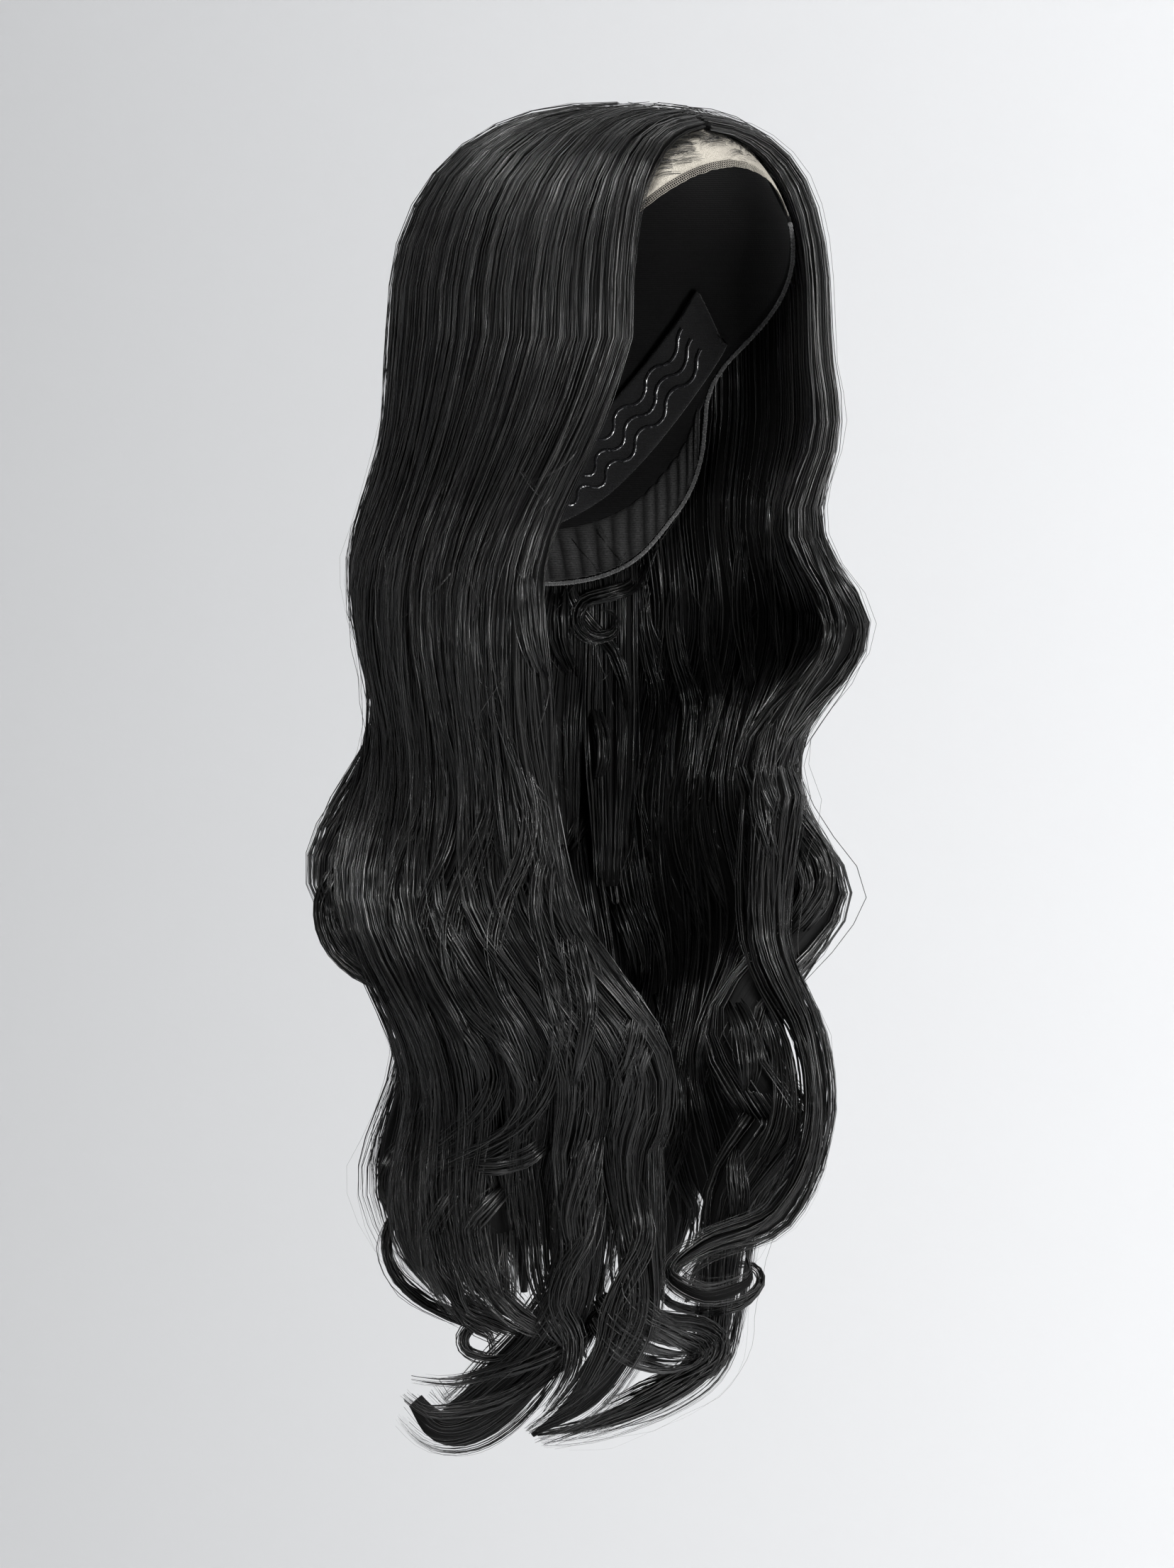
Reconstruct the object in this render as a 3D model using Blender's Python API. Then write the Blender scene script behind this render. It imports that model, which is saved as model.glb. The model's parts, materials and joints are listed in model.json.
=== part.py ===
# Lace front wig: long body wave hair on a net fronted cap, held in its worn form.
# Metres, +Z up. The wearer looks along -Y and the wearer's left is +X.
# The origin is the crown seat, where the top of the head meets the inside of the cap.

import math

import bmesh
import bpy
from mathutils import Vector

# Head that the cap fits
HEAD_BREADTH = 0.155
HEAD_LENGTH = 0.195
HEAD_SIDE = HEAD_BREADTH / 2
HEAD_DEPTH = HEAD_LENGTH / 2
CROWN_DEPTH = 0.095         # crown seat down to the widest level
SIDE_ROUNDNESS = 2.2        # exponent of the dome's profile at the sides and back
FRONT_ROUNDNESS = 3.6       # the brow is squarer, since the cap sits tipped back

# Cap
CAP_DEPTH = 0.209           # crown seat down to the nape edge
CAP_WALL = 0.0015
LACE_WALL = 0.0010
GAP = 0.0003                # clearance between pieces that touch
NAPE_FALL = 150.0           # fall angle of the nape edge, degrees

# Gathered nape band
NAPE_BAND_WIDTH = 0.025
NAPE_BAND_WALL = 0.0014
NAPE_BAND_CLEARANCE = 0.0008    # seam allowance between the cap's cut edge and the pleats
PLEAT_PITCH = 0.0080
PLEAT_HEIGHT = 0.0016

# Binding along the ear and nape edge
BINDING_DIAMETER = 0.0020
BINDING_GAP = 0.0013        # the band's pleats and the bent edge need a little more than GAP

# Elastic grip band and the silicone waves on it
GRIP_WIDTH = 0.030
GRIP_WALL = 0.0014
GRIP_CLEARANCE = 0.0017     # the band bridges the flats of the faceted cap
SILICONE_CLEARANCE = 0.0005
WAVE_COUNT = 3
WAVE_SPACING = 0.0072
WAVE_LENGTH = 0.0190
WAVE_SWING = 0.0026
WAVE_WIDTH = 0.0017
WAVE_HEIGHT = 0.0008

# Hair
HAIR_LENGTH = 0.565         # crown seat down to the longest hanging lock
HAIR_SEAT = 0.0012          # clearance from the cap to the hair that lies on it
PARTING_HALF = 0.0022       # half width of the parting
PARTING_FRONT = 0.067       # crown seat forward to the front end of the parting
PARTING_BACK = 0.010        # crown seat forward to the back end of the parting
FRONT_TURN = 41.0           # turn of the foremost lock's edge, degrees
PARTING_TURN = 100.0        # locks before this turn start along the parting, the rest at the crown
ROOT_THICKNESS = 0.0024
CROWN_THICKNESS = 0.0088
HANG_THICKNESS = 0.0215
LOCKS_A_SIDE = 10
WAVE_REACH = 0.0085         # how far the body wave swings in and out
WAVE_BIAS = 0.25            # how much more it swings out than in, as a share
WAVE_FADE = 0.26            # share of the hang over which the wave sets in
WAVE_GROWTH = 0.5           # how much stronger the wave is at the tips than at the top
SWAY_TURN = 4.2             # how far it swings sideways, degrees
SWAY_PHASE = 0.6            # how far the sideways swing runs ahead of the wave, radians

# Section of a lock, as shares of its own width and thickness
CROWN_EDGE = 0.72           # thickness at the sides of a lock that lies on the dome
HANG_EDGE = 0.70            # the same in its hanging stretch
HANG_HOLLOW = 0.10          # how far its inner side is ridged
TAIL_NARROWING = 0.34       # width lost from the split to the tip
TAIL_GAP = 0.05             # width lost at the split
TAIL_THINNING = 0.60        # thickness lost from the split to the tip
TAIL_EDGE_LOSS = 0.25       # how much more the sides of a tail are rounded
TAIL_HOLLOW = 0.20
TAIL_CENTRING = 0.45        # how far a thinning tail draws off the inner side
FLICK_SPREAD = 0.085        # height of a tail's outward swing, as a share of the hair's length

# Edge of the cap: turn from the brow (degrees) and fall from the crown (degrees).
RIM = [
    # turn, fall
    (0, 50.5),
    (12, 52.5),
    (24, 56.5),
    (38, 63.5),
    (52, 71.5),
    (66, 79.5),
    (78, 86.5),
    (89, 92.5),
    (98, 99.0),
    (103, 107.0),
    (104, 117.5),
    (108, 127.0),
    (116, 135.0),
    (128, 143.0),
    (142, 147.4),
    (160, 149.3),
    (180, 149.0),
]

# Seam between the net front and the stretch cap behind it, with the net's tongue at the parting.
LACE_SEAM = [
    # turn, fall
    (0, 2.2),
    (12, 3.2),
    (22, 10.0),
    (31, 26.0),
    (36, 42.0),
    (39, 60.0),
]

# Middle line of the grip band, from behind the ear to the middle of the back.
GRIP_LINE = [
    # turn, fall
    (99, 87.0),
    (108, 96.0),
    (118, 105.5),
    (130, 115.5),
    (142, 123.0),
    (156, 128.0),
    (170, 130.5),
    (180, 131.0),
]

# Head below its widest level: depth as a share of the cap's, half sizes as shares of the head's.
NECK = [
    # depth, side, back
    (0.00, 1.000, 1.000),
    (0.20, 0.998, 0.990),
    (0.45, 0.975, 0.925),
    (0.65, 0.930, 0.815),
    (0.85, 0.860, 0.690),
    (1.00, 0.820, 0.620),
]

# Inside of the hanging hair: drop as a share of the hair's length, half sizes and the ring's
# shift to the back as shares of the head's, thickness as a share of the hanging thickness.
HANG = [
    # drop, side, back, shift, thickness
    (0.00, 1.00, 1.00, 0.00, 0.42),
    (0.14, 1.00, 1.00, 0.02, 0.58),
    (0.32, 0.98, 0.92, 0.11, 0.86),
    (0.50, 0.90, 0.80, 0.15, 1.10),
    (0.68, 0.80, 0.68, 0.17, 1.25),
    (0.84, 0.67, 0.55, 0.17, 1.28),
    (1.00, 0.50, 0.42, 0.18, 1.05),
]

# How far the ring of hair closes round to the front: each lock's turn from the middle of the
# back is multiplied by these. The right side's front edge hangs further back below the ear.
CLOSING = [
    # share of the hang, right, left
    (0.00, 1.00, 1.00),
    (0.20, 0.88, 1.01),
    (0.36, 0.87, 1.05),
    (0.48, 0.93, 1.08),
    (0.66, 1.10, 1.14),
    (0.80, 1.17, 1.17),
    (1.00, 1.17, 1.17),
]

# Body wave round the head: turn counted from the left front over the back to the right front.
BODY_WAVE = [
    # turn, crest drop and wavelength as shares of the hair's length, strength
    (43, 0.400, 0.198, 1.90),
    (90, 0.435, 0.215, 1.20),
    (140, 0.500, 0.245, 0.90),
    (180, 0.540, 0.255, 0.90),
    (226, 0.600, 0.275, 1.15),
    (270, 0.655, 0.285, 1.00),
    (317, 0.700, 0.300, 0.90),
]

# Hanging locks on each side, from the brow to the back. Drops are shares of the hair's length.
# flick_out and flick_at: an outward swing of the loose tail, in metres, and where it is widest.
RIGHT_LOCKS = [
    # end, split, flick_out, flick_at
    (0.985, 0.800, 0.000, 0.90),
    (0.975, 0.800, 0.000, 0.90),
    (0.880, 0.800, 0.000, 0.90),
    (0.940, 0.900, 0.000, 0.90),
    (0.950, 0.880, 0.003, 0.92),
    (0.930, 0.890, 0.000, 0.90),
    (0.740, 0.400, 0.016, 0.60),
    (0.950, 0.880, 0.003, 0.92),
    (0.930, 0.890, 0.000, 0.90),
    (0.955, 0.890, 0.000, 0.90),
]
LEFT_LOCKS = [
    # end, split, flick_out, flick_at
    (0.880, 0.560, 0.000, 0.76),
    (0.930, 0.800, 0.000, 0.90),
    (0.930, 0.860, 0.003, 0.90),
    (0.950, 0.880, 0.000, 0.92),
    (0.925, 0.850, 0.004, 0.90),
    (0.955, 0.890, 0.000, 0.90),
    (0.930, 0.870, 0.003, 0.90),
    (0.960, 0.890, 0.000, 0.94),
    (0.935, 0.880, 0.000, 0.90),
    (0.950, 0.880, 0.002, 0.92),
]

# Loose ends that sweep away from the ring of hair. Each row is a place on the lock's middle:
# x as a share of the head's half breadth, y of its half length, z of the hair's length,
# then the lock's half width and half thickness in metres.
SWEPT_TAILS = {
    ("right", 0): [
        # x, y, z, width, thickness
        (-0.33, -0.53, -0.880, 0.0085, 0.0110),
        (-0.33, -0.52, -0.930, 0.0090, 0.0085),
        (-0.41, -0.44, -0.970, 0.0090, 0.0070),
        (-0.54, -0.31, -1.009, 0.0080, 0.0050),
        (-0.72, -0.14, -1.037, 0.0030, 0.0020),
    ],
    ("right", 1): [
        (-0.59, -0.37, -0.885, 0.0090, 0.0115),
        (-0.62, -0.18, -0.950, 0.0125, 0.0100),
        (-0.72, 0.02, -0.997, 0.0155, 0.0090),
        (-0.88, 0.14, -1.026, 0.0140, 0.0075),
        (-1.04, 0.23, -1.032, 0.0110, 0.0060),
        (-1.16, 0.28, -1.012, 0.0105, 0.0040),
    ],
    ("left", 0): [
        (0.57, -0.58, -0.646, 0.0080, 0.0070),
        (0.71, -0.75, -0.726, 0.0080, 0.0060),
        (0.73, -0.78, -0.796, 0.0075, 0.0055),
        (0.58, -0.67, -0.867, 0.0060, 0.0045),
        (0.25, -0.47, -0.892, 0.0050, 0.0035),
        (0.03, -0.42, -0.913, 0.0045, 0.0030),
        (0.12, -0.57, -0.929, 0.0040, 0.0030),
        (0.37, -0.65, -0.919, 0.0035, 0.0025),
        (0.46, -0.56, -0.903, 0.0025, 0.0015),
    ],
    ("left", 1): [
        (0.53, -0.40, -0.858, 0.0080, 0.0110),
        (0.54, -0.30, -0.938, 0.0095, 0.0090),
        (0.49, -0.26, -0.988, 0.0105, 0.0070),
        (0.27, -0.18, -1.016, 0.0095, 0.0055),
        (-0.13, -0.06, -1.037, 0.0075, 0.0040),
        (-0.48, 0.05, -1.044, 0.0030, 0.0020),
    ],
}

# Panels that the locks are grown into: side, first lock, locks in it.
PANELS = [
    ("hair_front_right", "right", 0, 3),
    ("hair_side_right", "right", 3, 3),
    ("hair_back_right", "right", 6, 4),
    ("hair_front_left", "left", 0, 3),
    ("hair_side_left", "left", 3, 3),
    ("hair_back_left", "left", 6, 4),
]

# Short under layer that hangs from the nape.
NAPE_LOCKS = 5
NAPE_ROWS = 8
NAPE_HALF_TURN = 50.0       # half of the layer's turn, counted from the middle of the back
NAPE_HAIR_ROOT = 0.034      # nape edge up to its roots
NAPE_HAIR_FALL = 0.140      # nape edge down to its tips
NAPE_HAIR_TOP = CAP_DEPTH - NAPE_HAIR_ROOT
NAPE_HAIR_END = CAP_DEPTH + NAPE_HAIR_FALL
NAPE_HAIR_THICKNESS = 0.012
NAPE_SPLIT = 0.45           # share of its length at which its locks part
NAPE_EDGE = 0.60            # thickness at the sides of its locks, as a share
NAPE_STEP = 0.06            # how much shorter every other lock is
NAPE_WAVE = 0.004
NAPE_WAVE_CYCLES = 1.4

# Counts of faces
DOME_ROWS = 8
HANG_ROWS = 16
LOCK_COLUMNS = 3
CAP_ROWS = 11
GRIP_COLUMNS = 31
BINDING_POINTS = 28
LACE_ROWS = 5
TAIL_ROW_COUNT = 2          # rows from one place of a swept tail to the next
SEARCH_REACH = 25.0         # degrees of fall searched on each side for a point at a given height
SEARCH_STEPS = 24


def clear_scene():
    for old in list(bpy.data.objects):
        bpy.data.objects.remove(old, do_unlink=True)


def material(name, colour, roughness, metallic=0.0):
    made = bpy.data.materials.new(name)
    made.use_nodes = True
    shader = made.node_tree.nodes["Principled BSDF"]
    shader.inputs["Base Color"].default_value = (*colour, 1.0)
    shader.inputs["Roughness"].default_value = roughness
    shader.inputs["Metallic"].default_value = metallic
    made.diffuse_color = (*colour, 1.0)
    return made


def smooth_step(share):
    share = min(1.0, max(0.0, share))
    return share * share * (3.0 - 2.0 * share)


def between(table, key, column):
    """Value of a table's column at a key, along a smooth curve through its rows."""
    if key <= table[0][0]:
        return table[0][column]
    if key >= table[-1][0]:
        return table[-1][column]
    row = next(i for i in range(len(table) - 1) if table[i + 1][0] >= key)
    here, there = table[row], table[row + 1]
    before = table[max(row - 1, 0)]
    after = table[min(row + 2, len(table) - 1)]
    span = there[0] - here[0]
    share = (key - here[0]) / span
    slope_here = (there[column] - before[column]) / (there[0] - before[0]) * span
    slope_there = (after[column] - here[column]) / (after[0] - here[0]) * span
    square, cube = share * share, share ** 3
    return (
        (2 * cube - 3 * square + 1) * here[column]
        + (cube - 2 * square + share) * slope_here
        + (3 * square - 2 * cube) * there[column]
        + (cube - square) * slope_there
    )


def roundness(turn):
    """Exponent of the dome's profile at a turn from the brow."""
    brow = max(0.0, math.cos(math.radians(turn))) ** 4
    return SIDE_ROUNDNESS + (FRONT_ROUNDNESS - SIDE_ROUNDNESS) * brow


def head_point(turn, fall, lift=0.0):
    """Point on the head form: turn round it, fall from the crown, lift off its surface."""
    angle = math.radians(turn)
    if fall <= 90.0:
        power = 2.0 / roundness(turn)
        reach = math.sin(math.radians(fall)) ** power
        height = max(0.0, math.cos(math.radians(fall))) ** power
        side = (HEAD_SIDE + lift) * reach
        depth = (HEAD_DEPTH + lift) * reach
        z = lift * height - CROWN_DEPTH * (1.0 - height)
    else:
        share = (fall - 90.0) / (NAPE_FALL - 90.0)
        side = HEAD_SIDE * between(NECK, share, 1) + lift
        depth = HEAD_DEPTH * between(NECK, share, 2) + lift
        z = -CROWN_DEPTH - (CAP_DEPTH - CROWN_DEPTH) * share
    return Vector((side * math.sin(angle), -depth * math.cos(angle), z))


def fall_step(turn, fall, distance):
    """Change of fall that moves a point by a distance along the head form."""
    nudge = 0.05
    moved = (head_point(turn, fall + nudge) - head_point(turn, fall)).length
    return nudge * distance / moved


def rim_fall(turn):
    return between(RIM, abs(turn), 1)


def new_object(name, mesh_builder, finish, collection):
    """Closed mesh from a bmesh, with its faces pointing out."""
    bmesh.ops.recalc_face_normals(mesh_builder, faces=mesh_builder.faces)
    mesh = bpy.data.meshes.new(name)
    mesh_builder.to_mesh(mesh)
    mesh_builder.free()
    mesh.materials.append(finish)
    mesh.shade_smooth()
    mesh.set_sharp_from_angle(angle=math.radians(50))
    made = bpy.data.objects.new(name, mesh)
    collection.objects.link(made)
    return made


def wall(name, columns, inner, outer, finish, collection, dome=False):
    """Wall lofted between an inner and an outer grid, each a list of columns of points.

    A dome closes on itself all round, and its first row is one point, the crown."""
    build = bmesh.new()
    rows = len(inner[0])
    grids = [[[build.verts.new(p) for p in column] for column in grid] for grid in (inner, outer)]
    steps = columns if dome else columns - 1
    for i in range(steps):
        j = (i + 1) % columns
        for grid in grids:
            for k in range(rows - 1):
                build.faces.new((grid[i][k], grid[j][k], grid[j][k + 1], grid[i][k + 1]))
        low, high = grids
        build.faces.new((low[i][-1], low[j][-1], high[j][-1], high[i][-1]))
        if not dome:
            build.faces.new((low[i][0], low[j][0], high[j][0], high[i][0]))
    if not dome:
        low, high = grids
        for i in (0, columns - 1):
            for k in range(rows - 1):
                build.faces.new((low[i][k], high[i][k], high[i][k + 1], low[i][k + 1]))
    bmesh.ops.remove_doubles(build, verts=build.verts, dist=1e-6)
    return new_object(name, build, finish, collection)


def cap_edge(turn):
    """Lower edge of the stretch cap: the net's seam in front, the band at the nape, else the rim."""
    around = abs(turn)
    if around <= LACE_SEAM[-1][0]:
        return between(LACE_SEAM, around, 1)
    edge = rim_fall(turn)
    if around >= nape_start():
        edge -= fall_step(turn, edge, NAPE_BAND_WIDTH)
    return edge


def nape_start():
    """Turn at which the nape band begins, just behind the ear."""
    return next(turn for turn, fall in RIM if fall > 110.0)


def front_turns():
    """Turns of the columns that the net and the cap share along their seam."""
    return [0, 10, 18, 25, 31, 35.5, LACE_SEAM[-1][0]]


def cap_turns():
    """Turns of the cap's columns, with two close together where its edge steps."""
    start = nape_start()
    half = front_turns() + [LACE_SEAM[-1][0] + 1.5, 50, 61, 72, 82, 91, 98]
    half += [start - 0.6, start, 109, 118, 128, 139, 152, 166]
    return [-t for t in reversed(half[1:])] + half + [180]


def make_cap(finish, collection):
    """Black stretch cap: one dome from the crown to the net's seam, the ears and the nape band."""
    turns = cap_turns()
    grids = []
    for lift in (0.0, CAP_WALL):
        grid = []
        for turn in turns:
            edge = cap_edge(turn)
            falls = [edge * k / CAP_ROWS for k in range(CAP_ROWS + 1)]
            grid.append([head_point(turn, fall, lift) for fall in falls])
        grids.append(grid)
    return wall("cap", len(turns), grids[0], grids[1], finish, collection, dome=True)


def make_lace(finish, collection):
    """Net front from temple to temple, with a tongue under the parting."""
    turns = [-turn for turn in reversed(front_turns()[1:])] + front_turns()
    grids = []
    for lift in (0.0, LACE_WALL):
        grid = []
        for turn in turns:
            seam = between(LACE_SEAM, abs(turn), 1)
            top = seam + fall_step(turn, seam, GAP)
            edge = rim_fall(turn)
            shares = [(k / LACE_ROWS) ** 0.8 for k in range(LACE_ROWS + 1)]
            grid.append([head_point(turn, top + (edge - top) * s, lift) for s in shares])
        grids.append(grid)
    return wall("lace_front", len(turns), grids[0], grids[1], finish, collection)


def rim_length(first, last, steps=240):
    """Length of the cap's edge between two turns."""
    turns = [first + (last - first) * i / steps for i in range(steps + 1)]
    points = [head_point(turn, rim_fall(turn)) for turn in turns]
    return sum((b - a).length for a, b in zip(points, points[1:]))


def even_turns(first, last, count, steps=480):
    """Turns that part the cap's edge into equal lengths."""
    turns = [first + (last - first) * i / steps for i in range(steps + 1)]
    points = [head_point(turn, rim_fall(turn)) for turn in turns]
    travelled = [0.0]
    for a, b in zip(points, points[1:]):
        travelled.append(travelled[-1] + (b - a).length)
    found = []
    for i in range(count):
        goal = travelled[-1] * i / (count - 1)
        k = next(j for j in range(1, steps + 1) if travelled[j] >= goal - 1e-9)
        share = (goal - travelled[k - 1]) / (travelled[k] - travelled[k - 1])
        found.append(turns[k - 1] + (turns[k] - turns[k - 1]) * share)
    return found


def make_nape_band(finish, collection):
    """Elastic band along the nape, drawn into pleats across its width."""
    start = nape_start() + 0.7
    end = 360.0 - start
    pleats = round(rim_length(start, end) / PLEAT_PITCH)
    turns = even_turns(start, end, 2 * pleats + 1)
    inner, outer = [], []
    for i, turn in enumerate(turns):
        around = turn if turn <= 180.0 else turn - 360.0
        fold = PLEAT_HEIGHT * (i % 2)
        edge = rim_fall(around)
        top = edge - fall_step(around, edge, NAPE_BAND_WIDTH - NAPE_BAND_CLEARANCE)
        falls = [top, top + (edge - top) * 0.5, edge]
        rises = [fold * 0.35, fold, fold * 0.6]
        inner.append([head_point(around, f, -r) for f, r in zip(falls, rises)])
        outer.append([head_point(around, f, NAPE_BAND_WALL - r) for f, r in zip(falls, rises)])
    return wall("nape_band", len(turns), inner, outer, finish, collection)


def make_binding(finish, collection):
    """Overlocked edge that runs from one temple round the ears and the nape to the other."""
    start = LACE_SEAM[-1][0] + 1.5
    ear = [turn for turn in cap_turns() if start <= turn < nape_start() - 1.0]
    nape = even_turns(nape_start(), 360.0 - nape_start(), BINDING_POINTS)
    turns = ear + nape + [360.0 - turn for turn in reversed(ear)]
    curve = bpy.data.curves.new("edge_binding", "CURVE")
    curve.dimensions = "3D"
    curve.bevel_depth = BINDING_DIAMETER / 2
    curve.bevel_resolution = 1
    curve.use_fill_caps = True
    spline = curve.splines.new("POLY")
    spline.points.add(len(turns) - 1)
    for i, turn in enumerate(turns):
        around = turn if turn <= 180.0 else turn - 360.0
        place = edge_place(around, BINDING_DIAMETER / 2 + BINDING_GAP)
        spline.points[i].co = (*place, 1.0)
    curve.materials.append(finish)
    made = bpy.data.objects.new("edge_binding", curve)
    collection.objects.link(made)
    return made


def edge_place(turn, below):
    """Point just past the cap's edge, square to the edge within the cap's surface."""
    nudge = 0.4
    edge = rim_fall(turn)
    here = head_point(turn, edge, CAP_WALL / 3)
    after = head_point(turn + nudge, rim_fall(turn + nudge))
    before = head_point(turn - nudge, rim_fall(turn - nudge))
    along = after - before
    down = head_point(turn, edge + nudge) - head_point(turn, edge - nudge)
    along.normalize()
    square = down - along * down.dot(along)
    return here + square.normalized() * below


def grip_frame(turn, lift):
    """Point on the grip band's middle line and the direction across it."""
    nudge = 0.5
    around = abs(turn)
    fall = between(GRIP_LINE, around, 1)
    side = 1.0 if turn >= 0.0 else -1.0
    before, after = around - nudge, around + nudge
    along = head_point(side * after, between(GRIP_LINE, after, 1)) - head_point(
        side * before, between(GRIP_LINE, before, 1)
    )
    down = head_point(turn, fall + nudge) - head_point(turn, fall - nudge)
    along.normalize()
    across = down - along * down.dot(along)
    return head_point(turn, fall, lift), across.normalized()


def grip_point(turn, offset, lift):
    """Point on the grip band: offset across it, lift off the head form."""
    around = abs(turn)
    fall = between(GRIP_LINE, around, 1)
    start, across = grip_frame(turn, lift)
    goal = start + across * offset
    low, high = fall - SEARCH_REACH, fall + SEARCH_REACH
    best = goal
    for _ in range(SEARCH_STEPS):
        middle = (low + high) / 2
        best = head_point(plan_turn(goal, middle, lift), middle, lift)
        if best.z > goal.z:
            low = middle
        else:
            high = middle
    return best


def plan_turn(point, fall, lift):
    """Turn of a point as seen from above, on the head form's own ellipse at that fall."""
    side = head_point(90.0, fall, lift).x
    back = head_point(180.0, fall, lift).y
    return math.degrees(math.atan2(point.x / side, -point.y / back))


def grip_turns(count):
    first, last = GRIP_LINE[0][0], 360.0 - GRIP_LINE[0][0]
    raw = [first + (last - first) * i / (count - 1) for i in range(count)]
    return [turn if turn <= 180.0 else turn - 360.0 for turn in raw]


def make_grip(finish, collection):
    """Wide elastic band that lies against the inside of the back of the cap."""
    turns = grip_turns(GRIP_COLUMNS)
    offsets = [GRIP_WIDTH * (k / 2 - 0.5) for k in range(3)]
    grids = []
    for lift in (-GRIP_CLEARANCE - GRIP_WALL, -GRIP_CLEARANCE):
        grids.append([[grip_point(turn, offset, lift) for offset in offsets] for turn in turns])
    return wall("grip_band", len(turns), grids[0], grids[1], finish, collection)


def grip_length(steps=120):
    turns = grip_turns(steps)
    points = [grip_point(turn, 0.0, 0.0) for turn in turns]
    return sum((b - a).length for a, b in zip(points, points[1:]))


def make_silicone(index, finish, collection):
    """Raised bead of clear silicone that runs along the grip band in waves."""
    offset = WAVE_SPACING * (index - (WAVE_COUNT - 1) / 2)
    cycles = round(grip_length() / WAVE_LENGTH)
    turns = grip_turns(2 * cycles + 1)[1:-1]
    top = -GRIP_CLEARANCE - GRIP_WALL - SILICONE_CLEARANCE
    inner, outer = [], []
    for i, turn in enumerate(turns):
        swing = WAVE_SWING * (1 if i % 2 else -1)
        offsets = [offset + swing - WAVE_WIDTH / 2, offset + swing + WAVE_WIDTH / 2]
        inner.append([grip_point(turn, o, top - WAVE_HEIGHT) for o in offsets])
        outer.append([grip_point(turn, o, top) for o in offsets])
    return wall(f"silicone_wave_{index + 1}", len(turns), inner, outer, finish, collection)


def root_place(turn):
    """Where a lock leaves the parting, or the crown for the locks of the back."""
    side = 1.0 if turn >= 0.0 else -1.0
    around = abs(turn)
    if around <= PARTING_TURN:
        share = (around - FRONT_TURN) / (PARTING_TURN - FRONT_TURN)
        y = -PARTING_FRONT + (PARTING_FRONT - PARTING_BACK) * share
        return Vector((side * PARTING_HALF, y))
    angle = math.radians(90.0 + 90.0 * (around - PARTING_TURN) / (180.0 - PARTING_TURN))
    y = -PARTING_BACK - PARTING_HALF * math.cos(angle)
    return Vector((side * PARTING_HALF * math.sin(angle), y))


def dome_hair(turn, share, lift):
    """Point on a hair that lies on the dome, at a share of its way from root to widest level."""
    angle = math.radians(turn)
    root = root_place(turn)
    side, depth = HEAD_SIDE + lift, HEAD_DEPTH + lift
    end = Vector((side * math.sin(angle), -depth * math.cos(angle)))
    place = root + (end - root) * math.sin(math.radians(90.0 * share)) ** 0.85
    reach = min(1.0, math.hypot(place.x / side, place.y / depth))
    power = roundness(math.degrees(math.atan2(place.x, -place.y)))
    height = (1.0 - reach ** power) ** (1.0 / power)
    return Vector((place.x, place.y, lift * height - CROWN_DEPTH * (1.0 - height)))


def wave_turn(turn):
    """Turn counted from the left front over the back, 43 to 317 degrees."""
    return turn if turn >= 0.0 else 360.0 + turn


def hang_hair(turn, drop, lift):
    """Point on a hanging hair: drop below the crown seat, lift off the ring's inner side."""
    share = (drop - CROWN_DEPTH) / (HAIR_LENGTH - CROWN_DEPTH)
    fade = smooth_step(share / WAVE_FADE)
    around = wave_turn(turn)
    crest = between(BODY_WAVE, around, 1) * HAIR_LENGTH
    length = between(BODY_WAVE, around, 2) * HAIR_LENGTH
    growth = 1.0 + WAVE_GROWTH * (share - 0.5)
    strength = between(BODY_WAVE, around, 3) * fade * growth
    cycle = 2.0 * math.pi * (drop - crest) / length
    out = WAVE_REACH * strength * (math.cos(cycle) + WAVE_BIAS)
    sway = SWAY_TURN * fade * math.sin(cycle + SWAY_PHASE)
    angle = math.radians(drifted(turn, share) + sway)
    side = HEAD_SIDE * between(HANG, share, 1) + lift + out
    back = HEAD_DEPTH * between(HANG, share, 2) + lift + out
    shift = HEAD_DEPTH * between(HANG, share, 3)
    return Vector((side * math.sin(angle), shift - back * math.cos(angle), -drop))


def drifted(turn, share):
    """Turn of a hanging lock once the ring has opened or closed towards the front."""
    side = 1.0 if turn >= 0.0 else -1.0
    close = between(CLOSING, share, 2 if side > 0.0 else 1)
    return side * (180.0 - (180.0 - abs(turn)) * close)


def hair_thickness(share):
    """Thickness of the hanging hair at a share of its way down."""
    return HANG_THICKNESS * between(HANG, share, 4)


def lock_edges(side, index):
    """Turns of a lock's two edges, from the brow to the middle of the back."""
    width = (180.0 - FRONT_TURN) / LOCKS_A_SIDE
    first = FRONT_TURN + width * index
    sign = 1.0 if side == "left" else -1.0
    return sign * first, sign * (first + width)


def lock_rows(side, index):
    """Sections of one lock, root to tip. Each is a list of outer and one of inner points."""
    first, last = lock_edges(side, index)
    end = (LEFT_LOCKS if side == "left" else RIGHT_LOCKS)[index][0]
    seat = CAP_WALL + HAIR_SEAT
    rows = []
    for k in range(DOME_ROWS):
        share = k / DOME_ROWS
        thick = ROOT_THICKNESS + (CROWN_THICKNESS - ROOT_THICKNESS) * smooth_step(share * 1.6)
        outer, inner = [], []
        for c in range(LOCK_COLUMNS + 1):
            across = c / LOCK_COLUMNS
            turn = first + (last - first) * across
            ridge = 1.0 if 0 < c < LOCK_COLUMNS else CROWN_EDGE
            outer.append(dome_hair(turn, share, seat + thick * ridge))
            inner.append(dome_hair(turn, share, seat))
        rows.append((outer, inner, False))
    tip = end * HAIR_LENGTH
    step = (HAIR_LENGTH - CROWN_DEPTH) / HANG_ROWS
    drops = [CROWN_DEPTH + step * k for k in range(HANG_ROWS + 1)]
    drops = [drop for drop in drops if drop < tip - step * 0.4] + [tip]
    rows += [hang_section(side, index, drop) for drop in drops]
    return rows


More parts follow.
